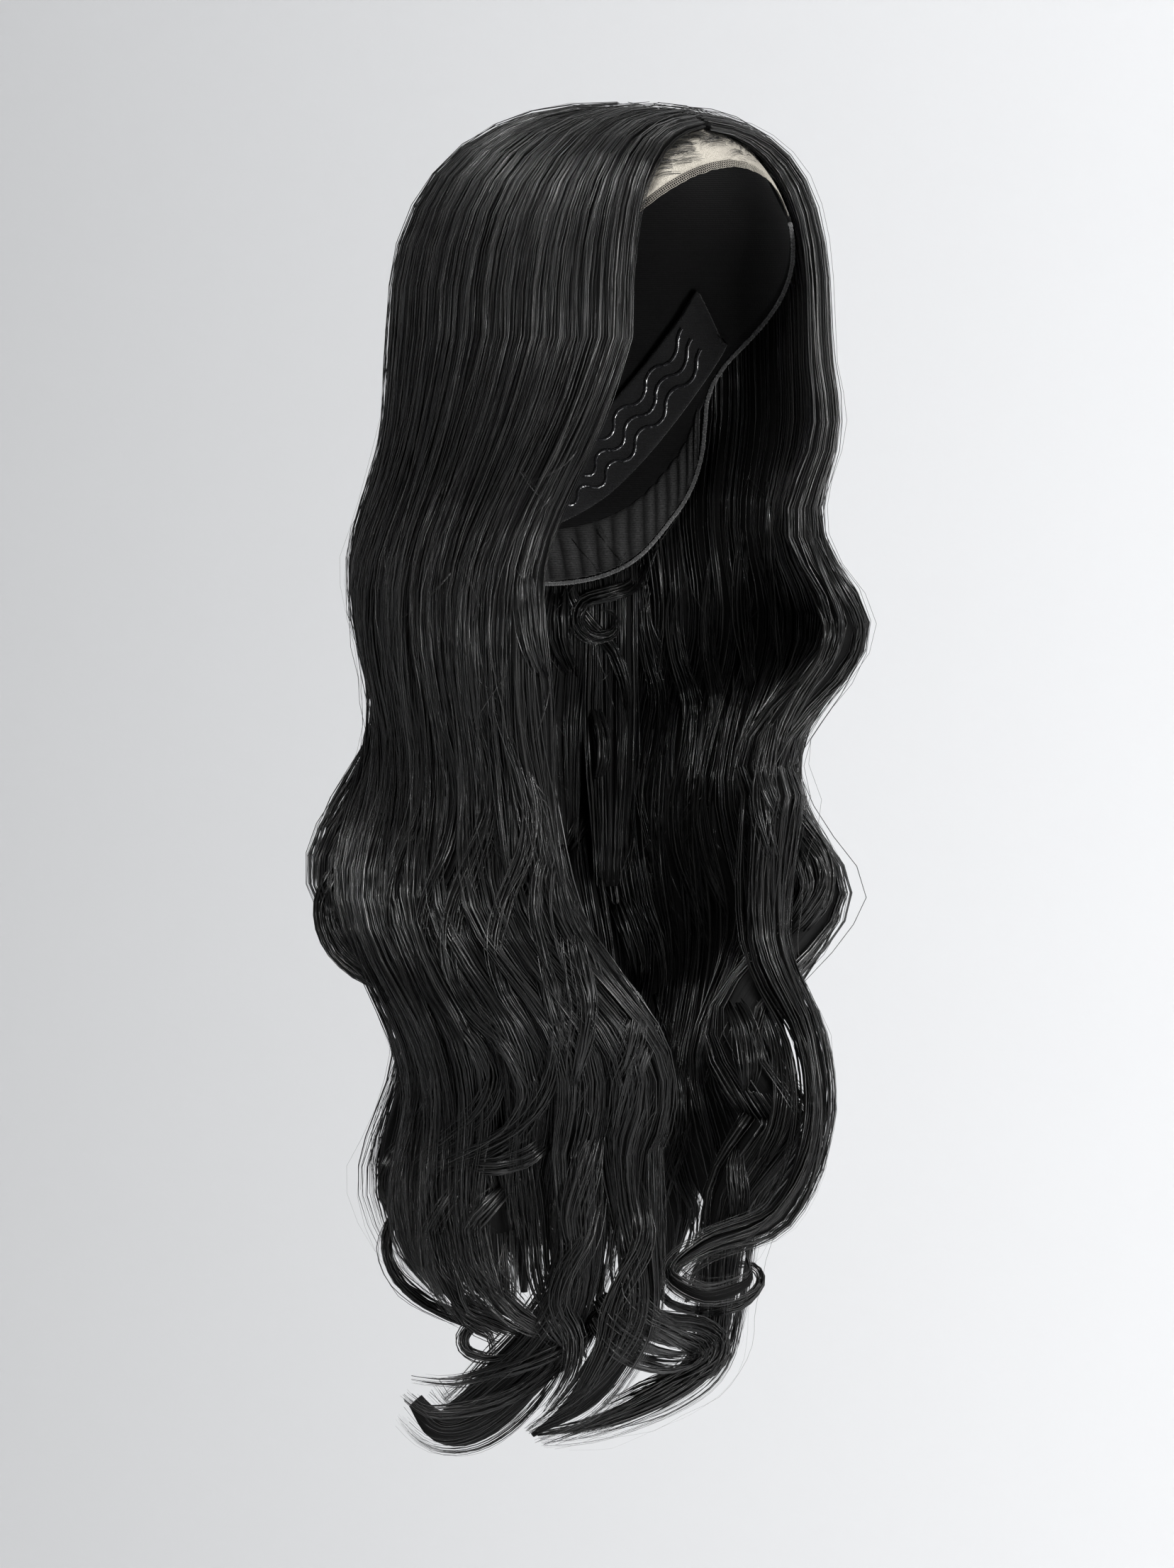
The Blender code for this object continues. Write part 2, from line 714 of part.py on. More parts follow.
def tail_share(side, index, drop):
    """How far a hanging point is down its lock's loose tail, 0 at the split and 1 at the tip."""
    end, split = (LEFT_LOCKS if side == "left" else RIGHT_LOCKS)[index][:2]
    return (drop / HAIR_LENGTH - split) / (end - split)


def hang_section(side, index, drop):
    """Section of a lock in its hanging stretch: ridged outside, softly ridged inside."""
    first, last = lock_edges(side, index)
    flick_out, flick_at = (LEFT_LOCKS if side == "left" else RIGHT_LOCKS)[index][2:]
    share = (drop - CROWN_DEPTH) / (HAIR_LENGTH - CROWN_DEPTH)
    tail = tail_share(side, index, drop)
    loose = tail > 0.0
    closing = smooth_step(tail)
    narrow = 1.0 - TAIL_NARROWING * closing - (TAIL_GAP if loose else 0.0)
    thin = 1.0 - TAIL_THINNING * max(0.0, tail) ** 2
    off_middle = (drop / HAIR_LENGTH - flick_at) / FLICK_SPREAD
    swing = flick_out * math.exp(-off_middle ** 2) * smooth_step(tail * 2.5)
    thick = hair_thickness(share) * thin
    seat = CAP_WALL + HAIR_SEAT
    middle = (first + last) / 2
    lift = seat + swing + hair_thickness(share) * (1.0 - thin) * TAIL_CENTRING
    edge_ridge = HANG_EDGE - TAIL_EDGE_LOSS * closing
    edge_hollow = HANG_HOLLOW * smooth_step(share * 3.0) + TAIL_HOLLOW * closing
    outer, inner = [], []
    for c in range(LOCK_COLUMNS + 1):
        across = c / LOCK_COLUMNS
        turn = middle + (first + (last - first) * across - middle) * narrow
        ridge = 1.0 if 0 < c < LOCK_COLUMNS else edge_ridge
        hollow = 0.0 if 0 < c < LOCK_COLUMNS else edge_hollow
        outer.append(hang_hair(turn, drop, lift + thick * ridge))
        inner.append(hang_hair(turn, drop, lift + thick * hollow))
    return outer, inner, loose


def swept_rows(side, index, rows):
    """The lock's rows with its tail led along its own route instead of down the ring."""
    route = SWEPT_TAILS.get((side, index))
    if route is None:
        return rows
    kept = [row for row in rows if not row[2]]
    start = row_middle(kept[-1])
    before = row_middle(kept[-2])
    width = (kept[-1][0][-1] - kept[-1][0][0]).length / 2
    thick = (kept[-1][0][1] - kept[-1][1][1]).length / 2
    across = (kept[-1][0][-1] - kept[-1][0][0]).normalized()
    places = [
        (Vector((x * HEAD_SIDE, y * HEAD_DEPTH, z * HAIR_LENGTH)), w, t) for x, y, z, w, t in route
    ]
    knots = [(before, width, thick), (start, width, thick)] + places
    steps = TAIL_ROW_COUNT * len(route)
    for k in range(1, steps + 1):
        at = 1.0 + (len(knots) - 2) * k / steps
        centre, half_width, half_thick = spline_at(knots, at)
        ahead = spline_at(knots, min(at + 0.05, len(knots) - 1.0))[0]
        behind = spline_at(knots, at - 0.05)[0]
        along = (ahead - behind).normalized()
        across = (across - along * across.dot(along)).normalized()
        outward = across.cross(along)
        if outward.dot(kept[-1][0][1] - kept[-1][1][1]) < 0.0:
            outward.negate()
        kept.append(oval_section(centre, across, outward, half_width, half_thick))
    return kept


def row_middle(row):
    points = row[0] + row[1]
    total = Vector((0.0, 0.0, 0.0))
    for point in points:
        total += point
    return total / len(points)


def spline_at(knots, at):
    """Smooth curve through knots of place, half width and half thickness."""
    index = min(int(at), len(knots) - 2)
    share = at - index
    picked = [knots[min(max(index + d, 0), len(knots) - 1)] for d in (-1, 0, 1, 2)]
    square, cube = share * share, share ** 3
    weights = (
        (-cube + 2 * square - share) / 2,
        (3 * cube - 5 * square + 2) / 2,
        (-3 * cube + 4 * square + share) / 2,
        (cube - square) / 2,
    )
    place = Vector((0.0, 0.0, 0.0))
    width = thick = 0.0
    for weight, (point, w, t) in zip(weights, picked):
        place += point * weight
        width += w * weight
        thick += t * weight
    return place, width, thick


def oval_section(centre, across, outward, half_width, half_thick):
    outer, inner = [], []
    for c in range(LOCK_COLUMNS + 1):
        side = 2.0 * c / LOCK_COLUMNS - 1.0
        bulge = 1.0 if 0 < c < LOCK_COLUMNS else 0.45
        outer.append(centre + across * side * half_width + outward * bulge * half_thick)
        inner.append(centre + across * side * half_width - outward * bulge * half_thick)
    return outer, inner, True


def panel(name, locks, finish, collection):
    """Locks grown together down to their splits, as one closed body.

    locks is a list of row lists, side by side. Two neighbours share their edge points as long
    as neither is loose, so the panel forks into tails without a seam."""
    build = bmesh.new()
    made = []
    for number, rows in enumerate(locks):
        lock = []
        for k, (outer, inner, loose) in enumerate(rows):
            verts = [[build.verts.new(p) for p in points] for points in (outer, inner)]
            if number and joined(locks, number, k):
                for layer in (0, 1):
                    build.verts.remove(verts[layer][0])
                    verts[layer][0] = made[number - 1][k][layer][-1]
            lock.append(verts)
        made.append(lock)
    for number, lock in enumerate(made):
        last = len(lock) - 1
        for k in range(last):
            here, there = lock[k], lock[k + 1]
            for layer in (0, 1):
                for c in range(LOCK_COLUMNS):
                    build.faces.new(
                        (here[layer][c], here[layer][c + 1], there[layer][c + 1], there[layer][c])
                    )
            if number == 0 or not joined(locks, number, k + 1):
                build.faces.new((here[0][0], there[0][0], there[1][0], here[1][0]))
            if number == len(made) - 1 or not joined(locks, number + 1, k + 1):
                build.faces.new((here[0][-1], there[0][-1], there[1][-1], here[1][-1]))
        for row in (lock[0], lock[last]):
            for c in range(LOCK_COLUMNS):
                build.faces.new((row[0][c], row[0][c + 1], row[1][c + 1], row[1][c]))
    return new_object(name, build, finish, collection)


def joined(locks, number, row):
    """Whether a lock still shares its edge with the one before it at a row."""
    if row >= min(len(locks[number]), len(locks[number - 1])):
        return False
    return not (locks[number][row][2] or locks[number - 1][row][2])


def split_rows(locks):
    """Rows set so that neighbours that are joined have the same edge points."""
    for before, after in zip(locks, locks[1:]):
        for k, (one, other) in enumerate(zip(before, after)):
            if one[2] or other[2]:
                continue
            for layer in (0, 1):
                other[layer][0] = one[layer][-1]
    return locks


def trim_side(rows, column, gap):
    """Move a panel's edge points in from its neighbour by half of the gap."""
    inward = 1 if column == 0 else -2
    for row in rows:
        for points in row[:2]:
            direction = points[inward] - points[column]
            if direction.length > 1e-7:
                points[column] = points[column] + direction.normalized() * gap / 2


def make_hair_panel(name, side, first, count, finish, collection):
    locks = []
    for index in range(first, first + count):
        locks.append(swept_rows(side, index, lock_rows(side, index)))
    split_rows(locks)
    trim_side(locks[0], 0, GAP)
    trim_side(locks[-1], -1, GAP)
    return panel(name, locks, finish, collection)


def nape_section(first, last, drop, thin):
    """Section of a lock of the nape's under layer."""
    share = (drop - NAPE_HAIR_TOP) / (NAPE_HAIR_END - NAPE_HAIR_TOP)
    middle = (first + last) / 2
    narrow = 1.0 - TAIL_NARROWING * smooth_step((share - NAPE_SPLIT) / (1.0 - NAPE_SPLIT))
    free = smooth_step((drop - CAP_DEPTH) / (NAPE_HAIR_END - CAP_DEPTH) * 2.0)
    cycle = 2.0 * math.pi * share * NAPE_WAVE_CYCLES + math.radians(middle)
    wave = NAPE_WAVE * free * (1.0 + math.sin(cycle))
    outer, inner = [], []
    for c in range(LOCK_COLUMNS + 1):
        across = c / LOCK_COLUMNS
        turn = middle + (first + (last - first) * across - middle) * narrow
        ridge = 1.0 if 0 < c < LOCK_COLUMNS else NAPE_EDGE
        for layer, rise in ((outer, ridge), (inner, 0.0)):
            layer.append(nape_point(turn, drop, NAPE_HAIR_THICKNESS * thin * rise + wave))
    return outer, inner, share > NAPE_SPLIT


def nape_point(turn, drop, lift):
    """Point of the under layer: on the nape band's outside, then hanging straight down."""
    seat = CAP_WALL + HAIR_SEAT
    fall = 90.0 + (NAPE_FALL - 90.0) * (drop - CROWN_DEPTH) / (CAP_DEPTH - CROWN_DEPTH)
    held = min(fall, NAPE_FALL)
    point = head_point(turn, held, seat + lift)
    point.z = -drop
    return point


def make_nape_hair(finish, collection):
    """Short under layer, sewn along the outside of the nape band."""
    width = 2.0 * NAPE_HALF_TURN / NAPE_LOCKS
    locks = []
    for index in range(NAPE_LOCKS):
        first = 180.0 - NAPE_HALF_TURN + width * index
        end = NAPE_HAIR_END * (1.0 - NAPE_STEP * (index % 2))
        sections = []
        for k in range(NAPE_ROWS + 1):
            share = k / NAPE_ROWS
            drop = NAPE_HAIR_TOP + (end - NAPE_HAIR_TOP) * share
            thin = (0.35 + 0.65 * smooth_step(share * 4.0)) * (1.0 - 0.75 * share ** 3)
            sections.append(nape_section(first, first + width, drop, thin))
        locks.append(sections)
    split_rows(locks)
    return panel("hair_nape", locks, finish, collection)


def main():
    clear_scene()
    wig = bpy.data.collections.new("lace_front_wig")
    bpy.context.scene.collection.children.link(wig)
    hair_black = material("hair_black", (0.012, 0.012, 0.013), 0.38)
    cap_black = material("stretch_cap", (0.018, 0.018, 0.019), 0.80)
    elastic = material("elastic_black", (0.022, 0.022, 0.023), 0.70)
    net = material("net_cream", (0.62, 0.55, 0.44), 0.75)
    silicone = material("silicone_clear", (0.10, 0.10, 0.10), 0.22)
    thread = material("edge_thread", (0.025, 0.025, 0.026), 0.85)
    make_cap(cap_black, wig)
    make_lace(net, wig)
    make_nape_band(elastic, wig)
    make_binding(thread, wig)
    make_grip(elastic, wig)
    for index in range(WAVE_COUNT):
        make_silicone(index, silicone, wig)
    for name, side, first, count in PANELS:
        make_hair_panel(name, side, first, count, hair_black, wig)
    make_nape_hair(hair_black, wig)


main()
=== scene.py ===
# %% [markdown]
# # A long black lace front wig
# A wig is a net cap with hair fixed to it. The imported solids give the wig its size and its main
# forms. This lesson dresses them: thousands of strands, a cream net with tiny hairs knotted into
# it, a stretch cap, a grip band with silicone waves and a gathered nape band.
# Everything is in metres, +Z is up, the wearer looks along -Y and the wearer's left is +X.

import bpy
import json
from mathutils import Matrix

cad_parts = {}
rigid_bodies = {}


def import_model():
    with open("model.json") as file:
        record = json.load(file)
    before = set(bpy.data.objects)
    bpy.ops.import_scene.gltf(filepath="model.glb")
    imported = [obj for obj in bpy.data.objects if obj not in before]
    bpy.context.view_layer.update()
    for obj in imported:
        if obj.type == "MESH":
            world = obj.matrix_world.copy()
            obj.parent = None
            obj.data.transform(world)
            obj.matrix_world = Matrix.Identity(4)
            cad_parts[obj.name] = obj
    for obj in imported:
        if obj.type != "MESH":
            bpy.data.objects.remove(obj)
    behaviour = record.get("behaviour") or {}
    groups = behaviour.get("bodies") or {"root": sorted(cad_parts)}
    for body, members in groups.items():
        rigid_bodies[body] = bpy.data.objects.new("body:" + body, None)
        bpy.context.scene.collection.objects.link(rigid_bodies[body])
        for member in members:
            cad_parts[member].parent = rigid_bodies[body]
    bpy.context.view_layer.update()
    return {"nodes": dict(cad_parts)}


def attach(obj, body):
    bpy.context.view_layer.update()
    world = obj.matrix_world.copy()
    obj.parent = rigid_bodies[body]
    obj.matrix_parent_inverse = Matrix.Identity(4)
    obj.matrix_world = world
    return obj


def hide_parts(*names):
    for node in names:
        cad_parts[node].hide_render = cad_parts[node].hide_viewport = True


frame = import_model()
print("solids:", len(frame["nodes"]))

# %% Tools
import json
import math
import random

import bmesh
import bpy
from mathutils import Matrix, Vector, noise
from mathutils.bvhtree import BVHTree

# %% [markdown]
# ## The head and the cap
# Every piece of the wig follows one form, the head. Two angles find a place on it: the turn round
# the head from the brow, and the fall from the crown. Short tables hold what was measured, and a
# smooth curve through their rows gives every value between.

# %% Sizes of the head and the cap
HEAD_BREADTH = 0.155
HEAD_LENGTH = 0.195
HEAD_SIDE = HEAD_BREADTH / 2
HEAD_DEPTH = HEAD_LENGTH / 2
CROWN_DEPTH = 0.095
SIDE_ROUNDNESS = 2.2
FRONT_ROUNDNESS = 3.6
CAP_DEPTH = 0.209
CAP_WALL = 0.0015
NAPE_FALL = 150.0
NAPE_BAND_WIDTH = 0.025
NAPE_BAND_WALL = 0.0014
PLEAT_PITCH = 0.0080
PLEAT_HEIGHT = 0.0016
GRIP_WIDTH = 0.030
GRIP_WALL = 0.0014
GRIP_CLEARANCE = 0.0017
SILICONE_CLEARANCE = 0.0005
WAVE_COUNT = 3
WAVE_SPACING = 0.0072
WAVE_LENGTH = 0.0190
WAVE_SWING = 0.0026
WAVE_WIDTH = 0.0017
WAVE_HEIGHT = 0.0008

RIM = [
    # turn, fall of the cap's edge
    (0, 50.5), (12, 52.5), (24, 56.5), (38, 63.5), (52, 71.5), (66, 79.5), (78, 86.5), (89, 92.5),
    (98, 99.0), (103, 107.0), (104, 117.5), (108, 127.0), (116, 135.0), (128, 143.0), (142, 147.4),
    (160, 149.3), (180, 149.0),
]
LACE_SEAM = [
    # turn, fall of the seam between the net and the cap
    (0, 2.2), (12, 3.2), (22, 10.0), (31, 26.0), (36, 42.0), (39, 60.0),
]
GRIP_LINE = [
    # turn, fall of the grip band's middle
    (99, 87.0), (108, 96.0), (118, 105.5), (130, 115.5), (142, 123.0), (156, 128.0),
    (170, 130.5), (180, 131.0),
]
NECK = [
    # depth below the widest level, side and back shares
    (0.00, 1.000, 1.000), (0.20, 0.998, 0.990), (0.45, 0.975, 0.925), (0.65, 0.930, 0.815),
    (0.85, 0.860, 0.690), (1.00, 0.820, 0.620),
]


def smooth_step(share):
    share = min(1.0, max(0.0, share))
    return share * share * (3.0 - 2.0 * share)


def between(table, key, column):
    """Value of a column at a key, on a smooth curve through the rows."""
    if key <= table[0][0]:
        return table[0][column]
    if key >= table[-1][0]:
        return table[-1][column]
    row = next(i for i in range(len(table) - 1) if table[i + 1][0] >= key)
    here, there = table[row], table[row + 1]
    before, after = table[max(row - 1, 0)], table[min(row + 2, len(table) - 1)]
    span = there[0] - here[0]
    share = (key - here[0]) / span
    slope_here = (there[column] - before[column]) / (there[0] - before[0]) * span
    slope_there = (after[column] - here[column]) / (after[0] - here[0]) * span
    square, cube = share * share, share ** 3
    return (
        (2 * cube - 3 * square + 1) * here[column]
        + (cube - 2 * square + share) * slope_here
        + (3 * square - 2 * cube) * there[column]
        + (cube - square) * slope_there
    )


def roundness(turn):
    brow = max(0.0, math.cos(math.radians(turn))) ** 4
    return SIDE_ROUNDNESS + (FRONT_ROUNDNESS - SIDE_ROUNDNESS) * brow


def head_point(turn, fall, lift=0.0):
    """Place on the head at a turn and a fall, lifted off its surface."""
    angle = math.radians(turn)
    if fall <= 90.0:
        power = 2.0 / roundness(turn)
        reach = math.sin(math.radians(fall)) ** power
        height = max(0.0, math.cos(math.radians(fall))) ** power
        side, depth = (HEAD_SIDE + lift) * reach, (HEAD_DEPTH + lift) * reach
        z = lift * height - CROWN_DEPTH * (1.0 - height)
    else:
        share = (fall - 90.0) / (NAPE_FALL - 90.0)
        side = HEAD_SIDE * between(NECK, share, 1) + lift
        depth = HEAD_DEPTH * between(NECK, share, 2) + lift
        z = -CROWN_DEPTH - (CAP_DEPTH - CROWN_DEPTH) * share
    return Vector((side * math.sin(angle), -depth * math.cos(angle), z))


def rim_fall(turn):
    return between(RIM, abs(turn), 1)


def seam_fall(turn):
    return between(LACE_SEAM, abs(turn), 1)


def fall_step(turn, fall, distance):
    """Change of fall that moves a place by a distance along the head."""
    moved = (head_point(turn, fall + 0.05) - head_point(turn, fall)).length
    return 0.05 * distance / moved


print("crown to nape:", round(CAP_DEPTH, 3), "m")

# %% [markdown]
# ## The camera
# The photograph looks at the wig from its wearer's front right and a little above. A long lens
# far away keeps the hair's sides from spreading, so the camera stands back and its field of view
# is worked out from the height of the frame at the wig.

# %% Camera
PHOTO_WIDTH = 1656
PHOTO_HEIGHT = 2212
PIXELS_A_METRE = 3150.0
CAMERA_TURN = -40.0
CAMERA_RISE = 4.0
CAMERA_DISTANCE = 3.4
CROWN_PIXEL = (858.0, 172.0)


def camera_axes():
    turn, rise = math.radians(CAMERA_TURN), math.radians(CAMERA_RISE)
    back = Vector((math.sin(turn) * math.cos(rise), -math.cos(turn) * math.cos(rise), math.sin(rise)))
    right = Vector((math.cos(turn), math.sin(turn), 0.0))
    return right, back.cross(right), back


right, up, back = camera_axes()
aim = -right * (CROWN_PIXEL[0] - PHOTO_WIDTH / 2) / PIXELS_A_METRE
aim -= up * (PHOTO_HEIGHT / 2 - CROWN_PIXEL[1]) / PIXELS_A_METRE
lens = bpy.data.cameras.new("photo_camera")
lens.sensor_fit = "VERTICAL"
lens.sensor_height = 24.0
lens.lens = 24.0 * CAMERA_DISTANCE * PIXELS_A_METRE / PHOTO_HEIGHT
lens.clip_end = 60.0
camera = bpy.data.objects.new("photo_camera", lens)
camera.location = aim + back * CAMERA_DISTANCE
camera.rotation_euler = Matrix((right, up, back)).transposed().to_euler()
bpy.context.scene.collection.objects.link(camera)
bpy.context.scene.camera = camera
print("lens:", round(lens.lens, 1), "mm")

# %% [markdown]
# ## Small helpers for nodes
# Trees of nodes are built by code here, so one helper adds a node and another joins two sockets.
# A tree's inputs get names, and a modifier finds each one by its socket's identifier.

# %% Node helpers
def add_node(tree, kind, values=None, **settings):
    """Node with its settings, and its inputs set to values or joined to sockets."""
    made = tree.nodes.new(kind)
    for name, value in settings.items():
        setattr(made, name, value)
    for key, value in (values or {}).items():
        if isinstance(value, bpy.types.NodeSocket):
            tree.links.new(value, made.inputs[key])
        else:
            made.inputs[key].default_value = value
    return made


def maths(tree, operation, *values):
    """Output of a math node on numbers or sockets."""
    return add_node(tree, "ShaderNodeMath", dict(enumerate(values)), operation=operation).outputs[0]


def vector_maths(tree, operation, *values, out=0):
    made = add_node(tree, "ShaderNodeVectorMath", None, operation=operation)
    for index, value in enumerate(values):
        socket = made.inputs["Scale"] if operation == "SCALE" and index == 1 else made.inputs[index]
        if isinstance(value, bpy.types.NodeSocket):
            tree.links.new(value, socket)
        else:
            socket.default_value = value
    return made.outputs[out]


def geometry_tree(name, inputs):
    """Empty Geometry Nodes tree with named inputs. Returns the tree and its input node."""
    tree = bpy.data.node_groups.new(name, "GeometryNodeTree")
    tree.interface.new_socket("Geometry", in_out="INPUT", socket_type="NodeSocketGeometry")
    for label, kind in inputs:
        tree.interface.new_socket(label, in_out="INPUT", socket_type="NodeSocket" + kind)
    tree.interface.new_socket("Geometry", in_out="OUTPUT", socket_type="NodeSocketGeometry")
    return tree, tree.nodes.new("NodeGroupInput")


def end_tree(tree, geometry, material):
    """Close a tree with Realize Instances and Set Material."""
    real = add_node(tree, "GeometryNodeRealizeInstances", {0: geometry})
    dressed = add_node(tree, "GeometryNodeSetMaterial", {0: real.outputs[0], "Material": material})
    out = tree.nodes.new("NodeGroupOutput")
    tree.links.new(dressed.outputs[0], out.inputs[0])


def bake_tree(name, start_mesh, tree, values):
    """Plain mesh object made by a tree from a start mesh, without the guides' own attributes."""
    scratch = bpy.data.objects.new(name + "_start", start_mesh)
    bpy.context.scene.collection.objects.link(scratch)
    modifier = scratch.modifiers.new(name, "NODES")
    modifier.node_group = tree
    for item in tree.interface.items_tree:
        if item.in_out == "INPUT" and item.name in values:
            modifier[item.identifier] = values[item.name]
    ready = bpy.context.evaluated_depsgraph_get()
    mesh = bpy.data.meshes.new_from_object(scratch.evaluated_get(ready), depsgraph=ready)
    bpy.data.objects.remove(scratch, do_unlink=True)
    for attribute in list(mesh.attributes):
        if attribute.name in LEFT_OVER:
            mesh.attributes.remove(attribute)
    mesh.name = name
    made = bpy.data.objects.new(name, mesh)
    bpy.context.scene.collection.objects.link(made)
    print(name, "faces:", len(mesh.polygons))
    return made


LEFT_OVER = ("across", "outward", "place")


def guide_mesh(name, lines):
    """Mesh of open lines. Each line is a list of rows: place, across, outward, along."""
    mesh = bpy.data.meshes.new(name)
    verts, edges = [], []
    for line in lines:
        first = len(verts)
        verts += [row[0] for row in line]
        edges += [(first + k, first + k + 1) for k in range(len(line) - 1)]
    mesh.from_pydata(verts, edges, [])
    rows = [row for line in lines for row in line]
    for label, column in (("across", 1), ("outward", 2)):
        data = mesh.attributes.new(label, "FLOAT_VECTOR", "POINT").data
        data.foreach_set("vector", [value for row in rows for value in row[column]])
    along = mesh.attributes.new("along", "FLOAT", "POINT").data
    along.foreach_set("value", [row[3] for row in rows])
    return mesh


def mesh_object(name, verts, faces, material):
    """Object from points and faces, with its faces turned outwards."""
    mesh = bpy.data.meshes.new(name)
    mesh.from_pydata(verts, [], faces)
    build = bmesh.new()
    build.from_mesh(mesh)
    bmesh.ops.remove_doubles(build, verts=build.verts, dist=1e-6)
    bmesh.ops.recalc_face_normals(build, faces=build.faces)
    build.to_mesh(mesh)
    build.free()
    mesh.materials.append(material)
    mesh.shade_smooth()
    made = bpy.data.objects.new(name, mesh)
    bpy.context.scene.collection.objects.link(made)
    return made


def wall_faces(columns, rows):
    """Faces of a closed thin wall. Its two sides are grids of points, one after the other."""
    half = columns * rows
    faces = []
    for i in range(columns - 1):
        for k in range(rows - 1):
            a, b = i * rows + k, (i + 1) * rows + k
            faces += [(a, b, b + 1, a + 1), (half + a, half + a + 1, half + b + 1, half + b)]
        for k in (0, rows - 1):
            a, b = i * rows + k, (i + 1) * rows + k
            faces.append((a, b, half + b, half + a))
    for i in (0, columns - 1):
        for k in range(rows - 1):
            a = i * rows + k
            faces.append((a, a + 1, half + a + 1, half + a))
    return faces


# %% [markdown]
# ## Finishes
# Black hair isn't one colour. Each strand has its own shade and gloss, and a lock shows fine
# streaks along its length. Every strand carries three attributes from its tree: how far along the
# hair it is, where on the strand's section, and a random value of its own. The streaks read these,
# so they follow each wave of the hair.

# %% Finish helper
def new_finish(name, colour, roughness):
    """Material with its tree and its Principled shader."""
    made = bpy.data.materials.new(name)
    made.use_nodes = True
    made.diffuse_color = (*colour, 1.0)
    shader = made.node_tree.nodes["Principled BSDF"]
    shader.inputs["Base Color"].default_value = (*colour, 1.0)
    shader.inputs["Roughness"].default_value = roughness
    return made, made.node_tree, shader


def ramp(tree, factor, stops):
    """Colour ramp with stops of (place, grey or colour)."""
    made = add_node(tree, "ShaderNodeValToRGB", {0: factor})
    elements = made.color_ramp.elements
    while len(elements) < len(stops):
        elements.new(0.5)
    for element, (place, colour) in zip(elements, stops):
        element.position = place
        shade = (colour,) * 3 if isinstance(colour, float) else colour
        element.color = (*shade, 1.0)
    return made.outputs[0]


def bump(tree, height, strength, distance):
    values = {"Height": height, "Strength": strength, "Distance": distance}
    return add_node(tree, "ShaderNodeBump", values).outputs[0]


# %% Hair finish
HAIR_DARK = (0.0012, 0.0012, 0.0012)
HAIR_MIDDLE = (0.0028, 0.0028, 0.0028)
HAIR_LIGHT = (0.0110, 0.0108, 0.0105)


def hair_finish(name, streaks, gloss, shine, light):
    """Near black fibre: streaks along the strand, and its own shade for each strand."""
    made, tree, shader = new_finish(name, HAIR_MIDDLE, gloss)
    section = add_node(tree, "ShaderNodeAttribute", attribute_name="section").outputs["Vector"]
    along = add_node(tree, "ShaderNodeAttribute", attribute_name="along").outputs["Fac"]
    strand = add_node(tree, "ShaderNodeAttribute", attribute_name="strand").outputs["Vector"]
    lengthwise = add_node(tree, "ShaderNodeCombineXYZ", {2: maths(tree, "MULTIPLY", along, 14.0)})
    wide = vector_maths(tree, "SCALE", section, streaks)
    apart = vector_maths(tree, "SCALE", strand, 90.0)
    place = vector_maths(tree, "ADD", vector_maths(tree, "ADD", wide, apart), lengthwise.outputs[0])
    fine = add_node(tree, "ShaderNodeTexNoise", {"Vector": place, "Scale": 1.0, "Detail": 3.0})
    own = add_node(tree, "ShaderNodeSeparateXYZ", {0: strand}).outputs[0]
    blend = maths(tree, "ADD", maths(tree, "MULTIPLY", fine.outputs["Fac"], 0.6),
                  maths(tree, "MULTIPLY", own, 0.4))
    pale = tuple(part * light for part in HAIR_LIGHT)
    colour = ramp(tree, blend, [(0.36, HAIR_DARK), (0.54, HAIR_MIDDLE), (0.72, pale)])
    tree.links.new(colour, shader.inputs["Base Color"])
    rough = add_node(tree, "ShaderNodeMapRange", {0: blend, 1: 0.3, 2: 0.7, 3: gloss + 0.10, 4: gloss - 0.06})
    tree.links.new(rough.outputs[0], shader.inputs["Roughness"])
    tree.links.new(bump(tree, fine.outputs["Fac"], 0.5, 0.0002), shader.inputs["Normal"])
    shader.inputs["Specular IOR Level"].default_value = shine
    shader.inputs["IOR"].default_value = 1.35
    return made


strand_black = hair_finish("strand_black", 1.5, 0.25, 0.60, 1.6)
stray_black = hair_finish("stray_black", 1.5, 0.30, 0.60, 3.0)
wisp_black = hair_finish("wisp_black", 5.0, 0.25, 0.50, 0.8)
# The bodies' finish is darker and duller than the strands': painted shade for the depths between strands.
body_painted_shade_black = hair_finish("body_painted_shade_black", 40.0, 0.60, 0.10, 0.3)

# %% [markdown]
# ## How the hair falls
# Each side's hair is ten locks. A hair first lies on the dome from the parting to the widest
# level, then hangs in a wave whose crests shift round the head. The lowest ends leave the ring of
# hair and sweep along routes of their own. These are the same sizes and tables as the solids'.

# %% Sizes of the hair
HAIR_LENGTH = 0.565
HAIR_SEAT = 0.0012
PARTING_HALF = 0.0022
PARTING_FRONT = 0.067
PARTING_BACK = 0.010
FRONT_TURN = 41.0
PARTING_TURN = 100.0
ROOT_THICKNESS = 0.0024
CROWN_THICKNESS = 0.0088
HANG_THICKNESS = 0.0215
LOCKS_A_SIDE = 10
WAVE_REACH = 0.0085
WAVE_BIAS = 0.25
WAVE_FADE = 0.26
WAVE_GROWTH = 0.5
SWAY_TURN = 4.2
SWAY_PHASE = 0.6
TAIL_NARROWING = 0.34
TAIL_THINNING = 0.60
TAIL_CENTRING = 0.45
FLICK_SPREAD = 0.085
HANG_STEP = (HAIR_LENGTH - CROWN_DEPTH) / 16

